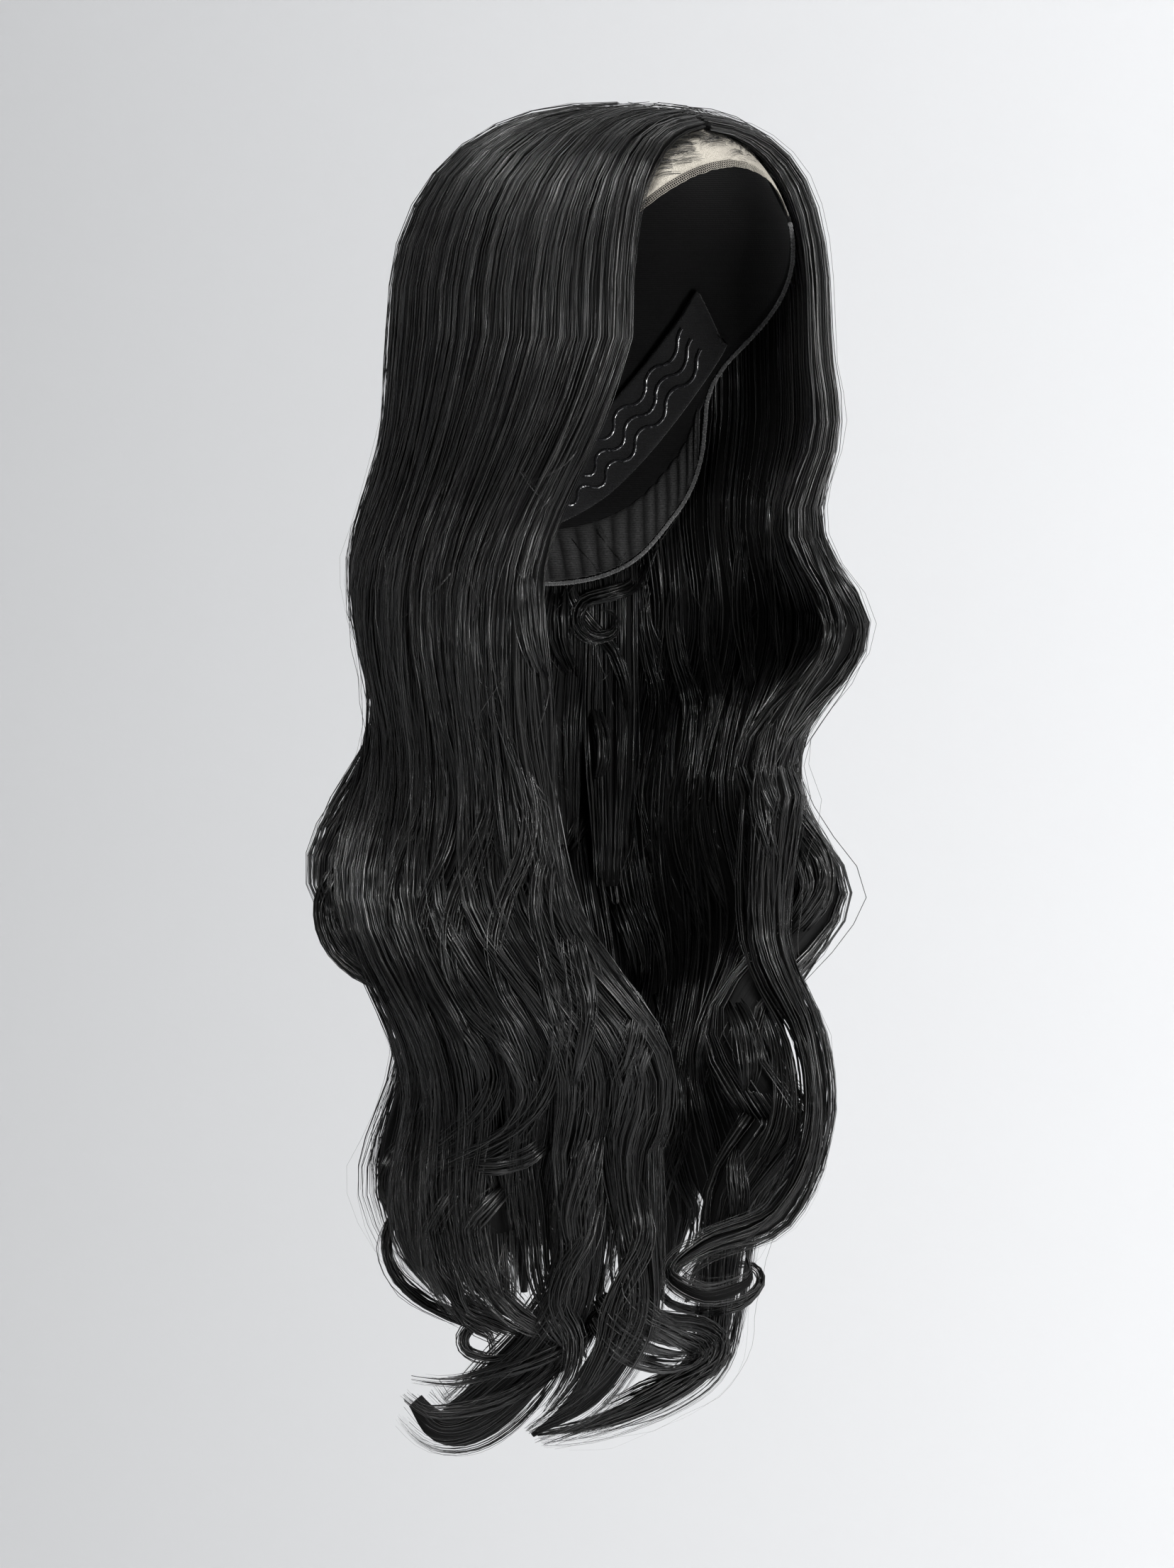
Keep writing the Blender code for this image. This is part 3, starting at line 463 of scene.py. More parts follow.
HANG = [
    # drop, side, back, shift to the back, thickness
    (0.00, 1.00, 1.00, 0.00, 0.42), (0.14, 1.00, 1.00, 0.02, 0.58), (0.32, 0.98, 0.92, 0.11, 0.86),
    (0.50, 0.90, 0.80, 0.15, 1.10), (0.68, 0.80, 0.68, 0.17, 1.25), (0.84, 0.67, 0.55, 0.17, 1.28),
    (1.00, 0.50, 0.42, 0.18, 1.05),
]
CLOSING = [
    # share of the hang, how far the right and the left close round to the front
    (0.00, 1.00, 1.00), (0.20, 0.88, 1.01), (0.36, 0.87, 1.05), (0.48, 0.93, 1.08),
    (0.66, 1.10, 1.14), (0.80, 1.17, 1.17), (1.00, 1.17, 1.17),
]
BODY_WAVE = [
    # turn, crest drop, wavelength, strength
    (43, 0.400, 0.198, 1.90), (90, 0.435, 0.215, 1.20), (140, 0.500, 0.245, 0.90),
    (180, 0.540, 0.255, 0.90), (226, 0.600, 0.275, 1.15), (270, 0.655, 0.285, 1.00),
    (317, 0.700, 0.300, 0.90),
]
LOCKS = {
    # end, split, flick_out, flick_at
    "right": [
        (0.985, 0.800, 0.000, 0.90), (0.975, 0.800, 0.000, 0.90), (0.880, 0.800, 0.000, 0.90),
        (0.940, 0.900, 0.000, 0.90), (0.950, 0.880, 0.003, 0.92), (0.930, 0.890, 0.000, 0.90),
        (0.740, 0.400, 0.016, 0.60), (0.950, 0.880, 0.003, 0.92), (0.930, 0.890, 0.000, 0.90),
        (0.955, 0.890, 0.000, 0.90),
    ],
    "left": [
        (0.880, 0.560, 0.000, 0.76), (0.930, 0.800, 0.000, 0.90), (0.930, 0.860, 0.003, 0.90),
        (0.950, 0.880, 0.000, 0.92), (0.925, 0.850, 0.004, 0.90), (0.955, 0.890, 0.000, 0.90),
        (0.930, 0.870, 0.003, 0.90), (0.960, 0.890, 0.000, 0.94), (0.935, 0.880, 0.000, 0.90),
        (0.950, 0.880, 0.002, 0.92),
    ],
}
SWEPT_TAILS = {
    # x, y, z, half width, half thickness
    ("right", 0): [
        (-0.33, -0.53, -0.880, 0.0085, 0.0110), (-0.33, -0.52, -0.930, 0.0090, 0.0085),
        (-0.41, -0.44, -0.970, 0.0090, 0.0070), (-0.54, -0.31, -1.009, 0.0080, 0.0050),
        (-0.72, -0.14, -1.037, 0.0030, 0.0020),
    ],
    ("right", 1): [
        (-0.59, -0.37, -0.885, 0.0090, 0.0115), (-0.62, -0.18, -0.950, 0.0125, 0.0100),
        (-0.72, 0.02, -0.997, 0.0155, 0.0090), (-0.88, 0.14, -1.026, 0.0140, 0.0075),
        (-1.04, 0.23, -1.032, 0.0110, 0.0060), (-1.16, 0.28, -1.012, 0.0105, 0.0040),
    ],
    ("left", 0): [
        (0.57, -0.58, -0.646, 0.0080, 0.0070), (0.71, -0.75, -0.726, 0.0080, 0.0060),
        (0.73, -0.78, -0.796, 0.0075, 0.0055), (0.58, -0.67, -0.867, 0.0060, 0.0045),
        (0.25, -0.47, -0.892, 0.0050, 0.0035), (0.03, -0.42, -0.913, 0.0045, 0.0030),
        (0.12, -0.57, -0.929, 0.0040, 0.0030), (0.37, -0.65, -0.919, 0.0035, 0.0025),
        (0.46, -0.56, -0.903, 0.0025, 0.0015),
    ],
    ("left", 1): [
        (0.53, -0.40, -0.858, 0.0080, 0.0110), (0.54, -0.30, -0.938, 0.0095, 0.0090),
        (0.49, -0.26, -0.988, 0.0105, 0.0070), (0.27, -0.18, -1.016, 0.0095, 0.0055),
        (-0.13, -0.06, -1.037, 0.0075, 0.0040), (-0.48, 0.05, -1.044, 0.0030, 0.0020),
    ],
}
PANELS = [
    # name, side, first lock, locks, share of the outer side's hair, share of the inner side's hair
    ("hair_front_right", "right", 0, 3, 1.65, 0.60), ("hair_side_right", "right", 3, 3, 1.65, 0.60),
    ("hair_back_right", "right", 6, 4, 0.90, 0.80), ("hair_front_left", "left", 0, 3, 0.80, 1.20),
    ("hair_side_left", "left", 3, 3, 0.72, 1.20), ("hair_back_left", "left", 6, 4, 0.72, 1.10),
]


# %% Paths of the hair
def root_place(turn):
    """Where a hair leaves the parting, or the crown for the hair of the back."""
    side = 1.0 if turn >= 0.0 else -1.0
    around = abs(turn)
    if around <= PARTING_TURN:
        share = (around - FRONT_TURN) / (PARTING_TURN - FRONT_TURN)
        return Vector((side * PARTING_HALF, -PARTING_FRONT + (PARTING_FRONT - PARTING_BACK) * share))
    angle = math.radians(90.0 + 90.0 * (around - PARTING_TURN) / (180.0 - PARTING_TURN))
    return Vector((side * PARTING_HALF * math.sin(angle), -PARTING_BACK - PARTING_HALF * math.cos(angle)))


def dome_hair(turn, share, lift):
    """Place on a hair that lies on the dome, at a share of its way from the root."""
    angle = math.radians(turn)
    root = root_place(turn)
    side, depth = HEAD_SIDE + lift, HEAD_DEPTH + lift
    end = Vector((side * math.sin(angle), -depth * math.cos(angle)))
    place = root + (end - root) * math.sin(math.radians(90.0 * share)) ** 0.85
    reach = min(1.0, math.hypot(place.x / side, place.y / depth))
    power = roundness(math.degrees(math.atan2(place.x, -place.y)))
    height = (1.0 - reach ** power) ** (1.0 / power)
    return Vector((place.x, place.y, lift * height - CROWN_DEPTH * (1.0 - height)))


def wander(turn, share):
    """Slow sideways drift of the hanging hair in degrees, so that no two waves match."""
    place = Vector((math.sin(math.radians(turn)) * 2.6, math.cos(math.radians(turn)) * 2.6, share * 2.4))
    return 3.2 * noise.noise(place) * smooth_step(share / 0.4)


def hang_hair(turn, drop, lift):
    """Place on a hanging hair, a drop below the crown and lifted off the ring's inner side."""
    share = (drop - CROWN_DEPTH) / (HAIR_LENGTH - CROWN_DEPTH)
    fade = smooth_step(share / WAVE_FADE)
    around = turn if turn >= 0.0 else 360.0 + turn
    crest = between(BODY_WAVE, around, 1) * HAIR_LENGTH
    length = between(BODY_WAVE, around, 2) * HAIR_LENGTH
    strength = between(BODY_WAVE, around, 3) * fade * (1.0 + WAVE_GROWTH * (share - 0.5))
    cycle = 2.0 * math.pi * (drop - crest) / length
    out = WAVE_REACH * strength * (math.cos(cycle) + WAVE_BIAS)
    sway = SWAY_TURN * fade * math.sin(cycle + SWAY_PHASE) + wander(turn, share)
    sign = 1.0 if turn >= 0.0 else -1.0
    close = between(CLOSING, share, 2 if sign > 0.0 else 1)
    angle = math.radians(sign * (180.0 - (180.0 - abs(turn)) * close) + sway)
    side = HEAD_SIDE * between(HANG, share, 1) + lift + out
    back = HEAD_DEPTH * between(HANG, share, 2) + lift + out
    shift = HEAD_DEPTH * between(HANG, share, 3)
    return Vector((side * math.sin(angle), shift - back * math.cos(angle), -drop))


def hair_thickness(share):
    return HANG_THICKNESS * between(HANG, share, 4)


# %% [markdown]
# ## Sections of a lock
# A lock is followed from root to tip as a row of sections. Each section is a small function: it is
# given how far across the lock and how deep in it a hair lies, and it gives the hair's place. That
# one description serves the dark body under the strands and every strand on it.

# %% Sections
SEAT = CAP_WALL + HAIR_SEAT
DOME_STEPS = 9
HANG_PITCH = 0.0125
SWEEP_STEPS = 5


def dome_section(first, last, share):
    thick = ROOT_THICKNESS + (CROWN_THICKNESS - ROOT_THICKNESS) * smooth_step(share * 1.6)
    return lambda across, depth: dome_hair(first + (last - first) * across, share, SEAT + thick * depth)


def hang_section(side, index, first, last, drop):
    end, split, flick_out, flick_at = LOCKS[side][index]
    share = (drop - CROWN_DEPTH) / (HAIR_LENGTH - CROWN_DEPTH)
    tail = (drop / HAIR_LENGTH - split) / (end - split)
    narrow = 1.0 - TAIL_NARROWING * smooth_step(tail)
    thin = 1.0 - TAIL_THINNING * max(0.0, tail) ** 2
    off_middle = (drop / HAIR_LENGTH - flick_at) / FLICK_SPREAD
    swing = flick_out * math.exp(-off_middle ** 2) * smooth_step(tail * 2.5)
    thick = hair_thickness(share) * thin
    lift = SEAT + swing + hair_thickness(share) * (1.0 - thin) * TAIL_CENTRING
    middle = (first + last) / 2
    return lambda across, depth: hang_hair(
        middle + (first + (last - first) * across - middle) * narrow, drop, lift + thick * depth
    )


def spline_at(knots, at):
    """Smooth curve through knots of place, half width and half thickness."""
    index = min(int(at), len(knots) - 2)
    share = at - index
    picked = [knots[min(max(index + d, 0), len(knots) - 1)] for d in (-1, 0, 1, 2)]
    square, cube = share * share, share ** 3
    weights = (
        (-cube + 2 * square - share) / 2,
        (3 * cube - 5 * square + 2) / 2,
        (-3 * cube + 4 * square + share) / 2,
        (cube - square) / 2,
    )
    return tuple(sum((k[i] * w for k, w in zip(picked, weights)), 0 * picked[0][i]) for i in range(3))


def swept_sections(route, before, start):
    """Sections of a loose end that follows its own route. before and start are section functions."""
    middle = start(0.5, 0.5)
    wide = start(1.0, 0.5) - start(0.0, 0.5)
    deep = start(0.5, 1.0) - start(0.5, 0.0)
    first = (middle, wide.length / 2, deep.length / 2)
    places = [
        (Vector((x * HEAD_SIDE, y * HEAD_DEPTH, z * HAIR_LENGTH)), w, t) for x, y, z, w, t in route
    ]
    knots = [(before(0.5, 0.5), first[1], first[2]), first] + places
    across = wide.normalized()
    steps = SWEEP_STEPS * len(route)
    made = []
    for k in range(1, steps + 1):
        at = 1.0 + (len(knots) - 2) * k / steps
        centre, half_width, half_thick = spline_at(knots, at)
        ahead = spline_at(knots, min(at + 0.05, len(knots) - 1.0))[0]
        along = (ahead - spline_at(knots, at - 0.05)[0]).normalized()
        across = (across - along * across.dot(along)).normalized()
        outward = across.cross(along)
        if outward.dot(deep) < 0.0:
            outward = -outward
        deep = outward
        made.append(oval(centre, across * half_width, outward * half_thick))
    return made


def oval(centre, across, outward):
    return lambda a, d: centre + across * (2.0 * a - 1.0) + outward * (2.0 * d - 1.0)


def lock_sections(side, index):
    """Sections of one lock from root to tip: a list of (section function, how loose)."""
    width = (180.0 - FRONT_TURN) / LOCKS_A_SIDE
    sign = 1.0 if side == "left" else -1.0
    first = sign * (FRONT_TURN + width * index)
    last = sign * (FRONT_TURN + width * (index + 1))
    end, split = LOCKS[side][index][:2]
    made = [(dome_section(first, last, k / DOME_STEPS), 0.0) for k in range(DOME_STEPS)]
    route = SWEPT_TAILS.get((side, index))
    low = end * HAIR_LENGTH
    if route:
        low = CROWN_DEPTH + HANG_STEP * int((split * HAIR_LENGTH - CROWN_DEPTH) / HANG_STEP)
    steps = max(2, round((low - CROWN_DEPTH) / HANG_PITCH))
    drops = [CROWN_DEPTH + (low - CROWN_DEPTH) * k / steps for k in range(steps + 1)]
    for drop in drops:
        loose = smooth_step((drop / HAIR_LENGTH - split + 0.12) / 0.20)
        made.append((hang_section(side, index, first, last, drop), loose))
    if route:
        swept = swept_sections(route, made[-2][0], made[-1][0])
        made += [(section, 1.0) for section in swept]
    return made


lock_table = {(side, index): lock_sections(side, index) for side in LOCKS for index in range(LOCKS_A_SIDE)}
print("sections:", sum(len(sections) for sections in lock_table.values()))

# %% [markdown]
# ## The outline of a lock
# Seen in section, a lock that lies among others is a flat rounded block, and a loose one is an
# oval. The hair that shows runs along this outline, so one function finds places on it.

# %% Outline of a section
BLOCK_POWER = 0.42


def outline(section, loose, across, inner=False, width=1.0, depth=1.0):
    """Place on a lock's outline at a share across it from -1 to 1, on its outer or inner side."""
    power = BLOCK_POWER + (1.0 - BLOCK_POWER) * loose
    reach = min(1.0, abs(across))
    rise = max(0.0, 1.0 - reach ** (2.0 / power)) ** (power / 2.0)
    rise = -rise if inner else rise
    return section(0.5 + 0.5 * across * width, 0.5 + 0.5 * rise * depth)


# %% [markdown]
# ## The body under the strands
# Real hair is so dense that no light comes through a lock. A closed, softly rounded body lies
# inside each lock, a little smaller than the strands' own outline, and takes the place of the
# hair that can't be seen. Its finish is darker and duller than the strands': painted shade for the
# depths between them.

# %% Bodies of the locks
BODY_SIDE = 7
BODY_RING = 2 * BODY_SIDE
BODY_WIDTH = 1.03
LOOSE_NARROWING = 0.20
BODY_DEPTH = 0.78


def body_faces(rings):
    """Faces of a closed tube through rings of equal length, with both ends filled."""
    count = len(rings[0])
    faces = []
    for k in range(len(rings) - 1):
        for c in range(count):
            d = (c + 1) % count
            faces.append((k * count + c, k * count + d, (k + 1) * count + d, (k + 1) * count + c))
    last = (len(rings) - 1) * count
    return faces + [tuple(range(count))[::-1], tuple(last + c for c in range(count))]


def lock_body(sections):
    """Rings of points of one lock's body."""
    rings = []
    for number, (section, loose) in enumerate(sections):
        tip = smooth_step((number / (len(sections) - 1) - 0.88) / 0.12)
        width = (BODY_WIDTH - LOOSE_NARROWING * loose) * (1.0 - 0.55 * tip * loose)
        depth = BODY_DEPTH * (1.0 - 0.65 * tip * loose)
        ring = []
        for c in range(BODY_RING):
            across = math.cos(math.pi * (c + 0.5) / BODY_SIDE)
            ring.append(outline(section, loose, across, c >= BODY_SIDE, width, depth))
        rings.append(ring)
    return rings


def store(mesh, name, kind, field, values):
    data = mesh.attributes.new(name, kind, "POINT").data
    data.foreach_set(field, values)


def make_bodies(name, locks):
    verts, faces, along, section_at, strand = [], [], [], [], []
    for number, sections in enumerate(locks):
        rings = lock_body(sections)
        first = len(verts)
        faces += [tuple(first + i for i in face) for face in body_faces(rings)]
        travelled = 0.0
        for k, ring in enumerate(rings):
            travelled += (ring[0] - rings[max(k - 1, 0)][0]).length
            for c, place in enumerate(ring):
                angle = 2.0 * math.pi * c / BODY_RING
                verts.append(place)
                along.append(travelled)
                section_at += [math.cos(angle), math.sin(angle), 0.0]
                strand += [0.37 * number % 1.0, 0.2, 0.5]
    mesh = bpy.data.meshes.new(name)
    mesh.from_pydata(verts, [], faces)
    build = bmesh.new()
    build.from_mesh(mesh)
    bmesh.ops.recalc_face_normals(build, faces=build.faces)
    build.to_mesh(mesh)
    build.free()
    store(mesh, "along", "FLOAT", "value", along)
    store(mesh, "section", "FLOAT_VECTOR", "vector", section_at)
    store(mesh, "strand", "FLOAT_VECTOR", "vector", strand)
    # Painted shade: the bodies take the darker, duller hair finish.
    mesh.materials.append(body_painted_shade_black)
    mesh.shade_smooth()
    made = bpy.data.objects.new(name, mesh)
    bpy.context.scene.collection.objects.link(made)
    return made


bodies = {}
for name, side, first, count, *_ in PANELS:
    locks = [lock_table[side, index] for index in range(first, first + count)]
    bodies[name] = make_bodies(name + "_body", locks)
print("bodies:", sum(len(made.data.polygons) for made in bodies.values()), "faces")

# %% [markdown]
# ## The tree that grows hair
# One Geometry Nodes tree makes all the hair. It is given guide lines with two arrows at each
# point, one along the lock's surface and one out of it. The tree copies each line, moves every
# copy by its own random amounts along the arrows, gives it a fine unevenness, trims it, tapers it
# and sweeps a small three-sided section along it. Wide flat sections make wisps, narrow ones make
# single strands.

# %% Hair tree
HAIR_INPUTS = [
    ("Copies", "Int"), ("Width", "Float"), ("Thickness", "Float"), ("Depth Low", "Float"),
    ("Depth High", "Float"), ("Spread", "Float"), ("Drift", "Float"), ("Frizz", "Float"),
    ("Tip", "Float"), ("Shortest", "Float"), ("Seed", "Int"), ("Material", "Material"),
]


def hair_tree():
    tree, given = geometry_tree("grow_hair", HAIR_INPUTS)
    put = given.outputs
    lines = add_node(tree, "GeometryNodeMeshToCurve", {0: put["Geometry"]})
    copies = add_node(tree, "GeometryNodeDuplicateElements", domain="SPLINE")
    tree.links.new(lines.outputs[0], copies.inputs["Geometry"])
    tree.links.new(put["Copies"], copies.inputs["Amount"])
    number = add_node(tree, "GeometryNodeInputIndex").outputs[0]

    def pick(low, high, shift):
        made = add_node(tree, "FunctionNodeRandomValue", data_type="FLOAT_VECTOR")
        for socket, value in ((made.inputs[0], low), (made.inputs[1], high)):
            if isinstance(value, bpy.types.NodeSocket):
                tree.links.new(value, socket)
            else:
                socket.default_value = value
        tree.links.new(number, made.inputs["ID"])
        tree.links.new(maths(tree, "ADD", put["Seed"], shift), made.inputs["Seed"])
        return made.outputs[0]

    low = add_node(tree, "ShaderNodeCombineXYZ", {0: -1.0, 1: put["Depth Low"]}).outputs[0]
    high = add_node(tree, "ShaderNodeCombineXYZ", {0: 1.0, 1: put["Depth High"], 2: 1.0}).outputs[0]
    geometry = copies.outputs["Geometry"]
    for label, value in (
        ("place", pick(low, high, 0.0)),
        ("strand", pick((0.0, 0.0, 0.0), (1.0, 1.0, 1.0), 17.0)),
    ):
        stored = add_node(tree, "GeometryNodeStoreNamedAttribute", data_type="FLOAT_VECTOR", domain="CURVE")
        tree.links.new(geometry, stored.inputs["Geometry"])
        stored.inputs["Name"].default_value = label
        tree.links.new(value, stored.inputs["Value"])
        geometry = stored.outputs[0]

    def read(label, kind="FLOAT_VECTOR"):
        made = add_node(tree, "GeometryNodeInputNamedAttribute", data_type=kind)
        made.inputs["Name"].default_value = label
        return made.outputs[0]

    place = add_node(tree, "ShaderNodeSeparateXYZ", {0: read("place")})
    strand = add_node(tree, "ShaderNodeSeparateXYZ", {0: read("strand")})
    along = read("along", "FLOAT")
    grown = add_node(tree, "ShaderNodeMapRange", {0: along, 1: 0.03, 2: 0.34, 3: 0.22, 4: 1.0}).outputs[0]
    steady = vector_maths(tree, "SCALE", read("strand"), 60.0)

    def unevenness(scale, shift):
        spot = add_node(tree, "ShaderNodeCombineXYZ", {0: maths(tree, "MULTIPLY", along, scale), 1: shift})
        spot = vector_maths(tree, "ADD", steady, spot.outputs[0])
        made = add_node(tree, "ShaderNodeTexNoise", {"Vector": spot, "Scale": 1.0, "Detail": 1.0})
        return vector_maths(tree, "SUBTRACT", made.outputs["Color"], (0.5, 0.5, 0.5))

    drift = add_node(tree, "ShaderNodeSeparateXYZ", {0: unevenness(7.0, 3.0)})
    drifting = maths(tree, "MULTIPLY", maths(tree, "MULTIPLY", put["Drift"], grown), 4.0)
    aside = maths(tree, "ADD", maths(tree, "MULTIPLY", place.outputs[0], put["Spread"]),
                  maths(tree, "MULTIPLY", drift.outputs[0], drifting))
    deep = maths(tree, "ADD", place.outputs[1],
                 maths(tree, "MULTIPLY", drift.outputs[1], maths(tree, "MULTIPLY", drifting, 0.5)))
    offset = vector_maths(
        tree, "ADD",
        vector_maths(tree, "SCALE", read("across"), aside),
        vector_maths(tree, "SCALE", read("outward"), deep),
    )
    rough = vector_maths(tree, "SCALE", unevenness(34.0, 11.0), maths(tree, "MULTIPLY", put["Frizz"], grown))
    offset = vector_maths(tree, "ADD", offset, rough)
    moved = add_node(tree, "GeometryNodeSetPosition", {0: geometry, "Offset": offset})
    short = maths(tree, "POWER", strand.outputs[1], 2.5)
    keep = maths(tree, "SUBTRACT", 1.0, maths(tree, "MULTIPLY", short,
                                              maths(tree, "SUBTRACT", 1.0, put["Shortest"])))
    trimmed = add_node(tree, "GeometryNodeTrimCurve", mode="FACTOR")
    tree.links.new(moved.outputs[0], trimmed.inputs["Curve"])
    tree.links.new(keep, trimmed.inputs["End"])
    normals = add_node(tree, "GeometryNodeSetCurveNormal", mode="FREE")
    tree.links.new(trimmed.outputs[0], normals.inputs["Curve"])
    tree.links.new(vector_maths(tree, "NORMALIZE", read("outward")), normals.inputs["Normal"])
    here = add_node(tree, "GeometryNodeSplineParameter").outputs["Factor"]
    tip = maths(tree, "SUBTRACT", 1.0, put["Tip"])
    taper = add_node(tree, "ShaderNodeMapRange", {0: here, 1: tip, 2: 1.0, 3: 1.0, 4: 0.15},
                     interpolation_type="SMOOTHSTEP").outputs[0]
    own = add_node(tree, "ShaderNodeMapRange", {0: strand.outputs[2], 3: 0.35, 4: 1.45}).outputs[0]
    size = maths(tree, "MULTIPLY", taper, own)
    ring = add_node(tree, "GeometryNodeCurvePrimitiveCircle", mode="RADIUS")
    ring.inputs["Radius"].default_value = 1.0
    ring.inputs["Resolution"].default_value = 3
    turned = add_node(tree, "GeometryNodeTransform", {0: ring.outputs[0], "Rotation": (0.0, 0.0, math.pi)})
    marked = add_node(tree, "GeometryNodeStoreNamedAttribute", data_type="FLOAT_VECTOR", domain="POINT")
    tree.links.new(turned.outputs[0], marked.inputs["Geometry"])
    marked.inputs["Name"].default_value = "section"
    tree.links.new(add_node(tree, "GeometryNodeInputPosition").outputs[0], marked.inputs["Value"])
    half = add_node(tree, "ShaderNodeCombineXYZ", {
        0: maths(tree, "MULTIPLY", put["Thickness"], 0.5),
        1: maths(tree, "MULTIPLY", put["Width"], 0.5), 2: 1.0,
    })
    shaped = add_node(tree, "GeometryNodeTransform", {0: marked.outputs[0], "Scale": half.outputs[0]})
    swept = add_node(tree, "GeometryNodeCurveToMesh")
    tree.links.new(normals.outputs[0], swept.inputs["Curve"])
    tree.links.new(shaped.outputs[0], swept.inputs["Profile Curve"])
    tree.links.new(size, swept.inputs["Scale"])
    swept.inputs["Fill Caps"].default_value = True
    smooth = add_node(tree, "GeometryNodeSetShadeSmooth", {0: swept.outputs[0]})
    end_tree(tree, smooth.outputs[0], put["Material"])
    return tree


grow_hair = hair_tree()
print("nodes in the hair tree:", len(grow_hair.nodes))

# %% [markdown]
# ## Guide lines
# Guide lines run down the outer and the inner side of each lock, and down its edges where they
# show. Lower down each one swings to the sides in a wave of its own and parts from its neighbours,
# so that the hair gathers into clumps and dark hollows open between them, as brushed waves do.

# %% Guides of the locks
OUTER_GUIDES = 4
INNER_GUIDES = 3
LAYER = 0.0030
CLUMP_SWING = 0.0050
CLUMP_LIFT = 0.0030
CLUMP_WAVE = 0.130


def clump_shift(seed, travelled, free):
    """Sideways and outward shift of a clump of hair at a distance from its root."""
    spot = Vector((seed * 3.71, travelled * 5.0, 0.5))
    phase = 2.0 * math.pi * (travelled / CLUMP_WAVE + 0.35 * noise.noise(Vector((seed * 0.9, 1.0, 7.0))))
    aside = CLUMP_SWING * (0.6 * math.sin(phase) + 0.9 * noise.noise(spot))
    out = CLUMP_LIFT * (0.4 + 1.4 * noise.noise(spot + Vector((0.0, 0.0, 9.0))))
    return aside * free, out * free


def finish_line(places, arrows, centres, freedom, seed):
    """Rows of a guide line: place, across arrow, outward arrow, and the distance from the root."""
    line = []
    travelled = 0.0
    last = len(places) - 1
    for k, place in enumerate(places):
        along = (places[min(k + 1, last)] - places[max(k - 1, 0)]).normalized()
        outward = arrows[k].cross(along).normalized()
        if outward.dot(place - centres[k]) < 0.0:
            outward = -outward
        if k:
            travelled += (place - places[k - 1]).length
        aside, out = clump_shift(seed, travelled, freedom[k])
        shifted = place + arrows[k].normalized() * aside + outward * out
        line.append((shifted, arrows[k], outward * LAYER, travelled))
    return line


def face_guide(sections, across, half, inner, seed):
    """Guide on the outer or inner side of a lock, which serves a share to each side of it."""
    places, arrows, centres, freedom = [], [], [], []
    for number, (section, loose) in enumerate(sections):
        places.append(outline(section, loose, across, inner))
        one = outline(section, loose, max(-0.98, across - half), inner)
        other = outline(section, loose, min(0.98, across + half), inner)
        arrows.append((other - one) / 2)
        centres.append(section(0.5 + 0.3 * across, 0.5))
        freedom.append(smooth_step((number - DOME_STEPS - 1) / 16))
    return finish_line(places, arrows, centres, freedom, seed)


def edge_guide_line(sections, sign, seed, start=0):
    """Guide on a lock's side edge."""
    places, arrows, centres = [], [], []
    for section, loose in sections[start:]:
        places.append(section(0.5 + 0.5 * sign, 0.5))
        share = 0.50 - 0.15 * loose
        arrows.append((section(0.5 + 0.47 * sign, 0.5 + share) - section(0.5 + 0.47 * sign, 0.5 - share)) / 2)
        centres.append(section(0.5, 0.5))
    return finish_line(places, arrows, centres, [0.15] * len(places), seed)


def lock_guides(side, index):
    """Guides of one lock: those of its outer side, its inner side and its edges."""
    sections = lock_table[side, index]
    seed = index * 9.0 + (100.0 if side == "left" else 0.0)
    outer = [
        face_guide(sections, (2 * j + 1) / OUTER_GUIDES - 1.0, 1.1 / OUTER_GUIDES, False, seed + j)
        for j in range(OUTER_GUIDES)
    ]
    inner = [
        face_guide(sections, (2 * j + 1) / INNER_GUIDES - 1.0, 1.1 / INNER_GUIDES, True, seed + 4 + j)
        for j in range(INNER_GUIDES)
    ]
    free_from = next((k for k, (_, loose) in enumerate(sections) if loose > 0.3), len(sections) - 2)
    edges = []
    for sign in (-1.0, 1.0):
        start = 0 if index == 0 and sign < 0.0 else min(free_from, len(sections) - 4)
        edges.append(edge_guide_line(sections, sign, seed + 7 + sign, start))
    return outer, inner, edges


guides = {}
for name, side, first, count, *_ in PANELS:
    sets = [lock_guides(side, index) for index in range(first, first + count)]
    guides[name] = [[line for lock in sets for line in lock[kind]] for kind in range(3)]
print("guide lines:", sum(len(lines) for kinds in guides.values() for lines in kinds))

# %% [markdown]
# ## Wisps and strands
# Flat wisps cover the bodies. Single strands lie over and between them and give the fine grain,
# and a few stray ones leave the surface and soften the outline.

# %% Grow the panels
WISP = {"Width": 0.0014, "Thickness": 0.0006, "Tip": 0.20, "Shortest": 0.88, "Material": wisp_black}
STRAND = {"Width": 0.00042, "Thickness": 0.00042, "Tip": 0.30, "Shortest": 0.82, "Material": strand_black}
STRAY = {"Width": 0.00030, "Thickness": 0.00030, "Tip": 0.50, "Shortest": 0.45, "Material": stray_black}
OUTER_LAYERS = [
    # label, finish, copies, depth low, depth high, spread, drift, frizz
    ("wisps", WISP, 7, -0.70, 0.15, 1.15, 0.55, 0.0014),
    ("strands", STRAND, 7, -0.25, 0.50, 1.25, 0.95, 0.0024),
    ("strays", STRAY, 2, 0.10, 1.20, 2.20, 2.20, 0.0080),
]
INNER_LAYERS = [
    ("inner_wisps", WISP, 5, -0.70, 0.10, 1.10, 0.30, 0.0012),
    ("inner_strands", STRAND, 2, -0.20, 0.45, 1.15, 0.50, 0.0025),
]
EDGE_LAYERS = [
    ("edge_wisps", WISP, 8, -0.70, 0.10, 1.00, 0.25, 0.0015),
    ("edge_strands", STRAND, 10, -0.20, 0.60, 1.10, 0.50, 0.0030),
]


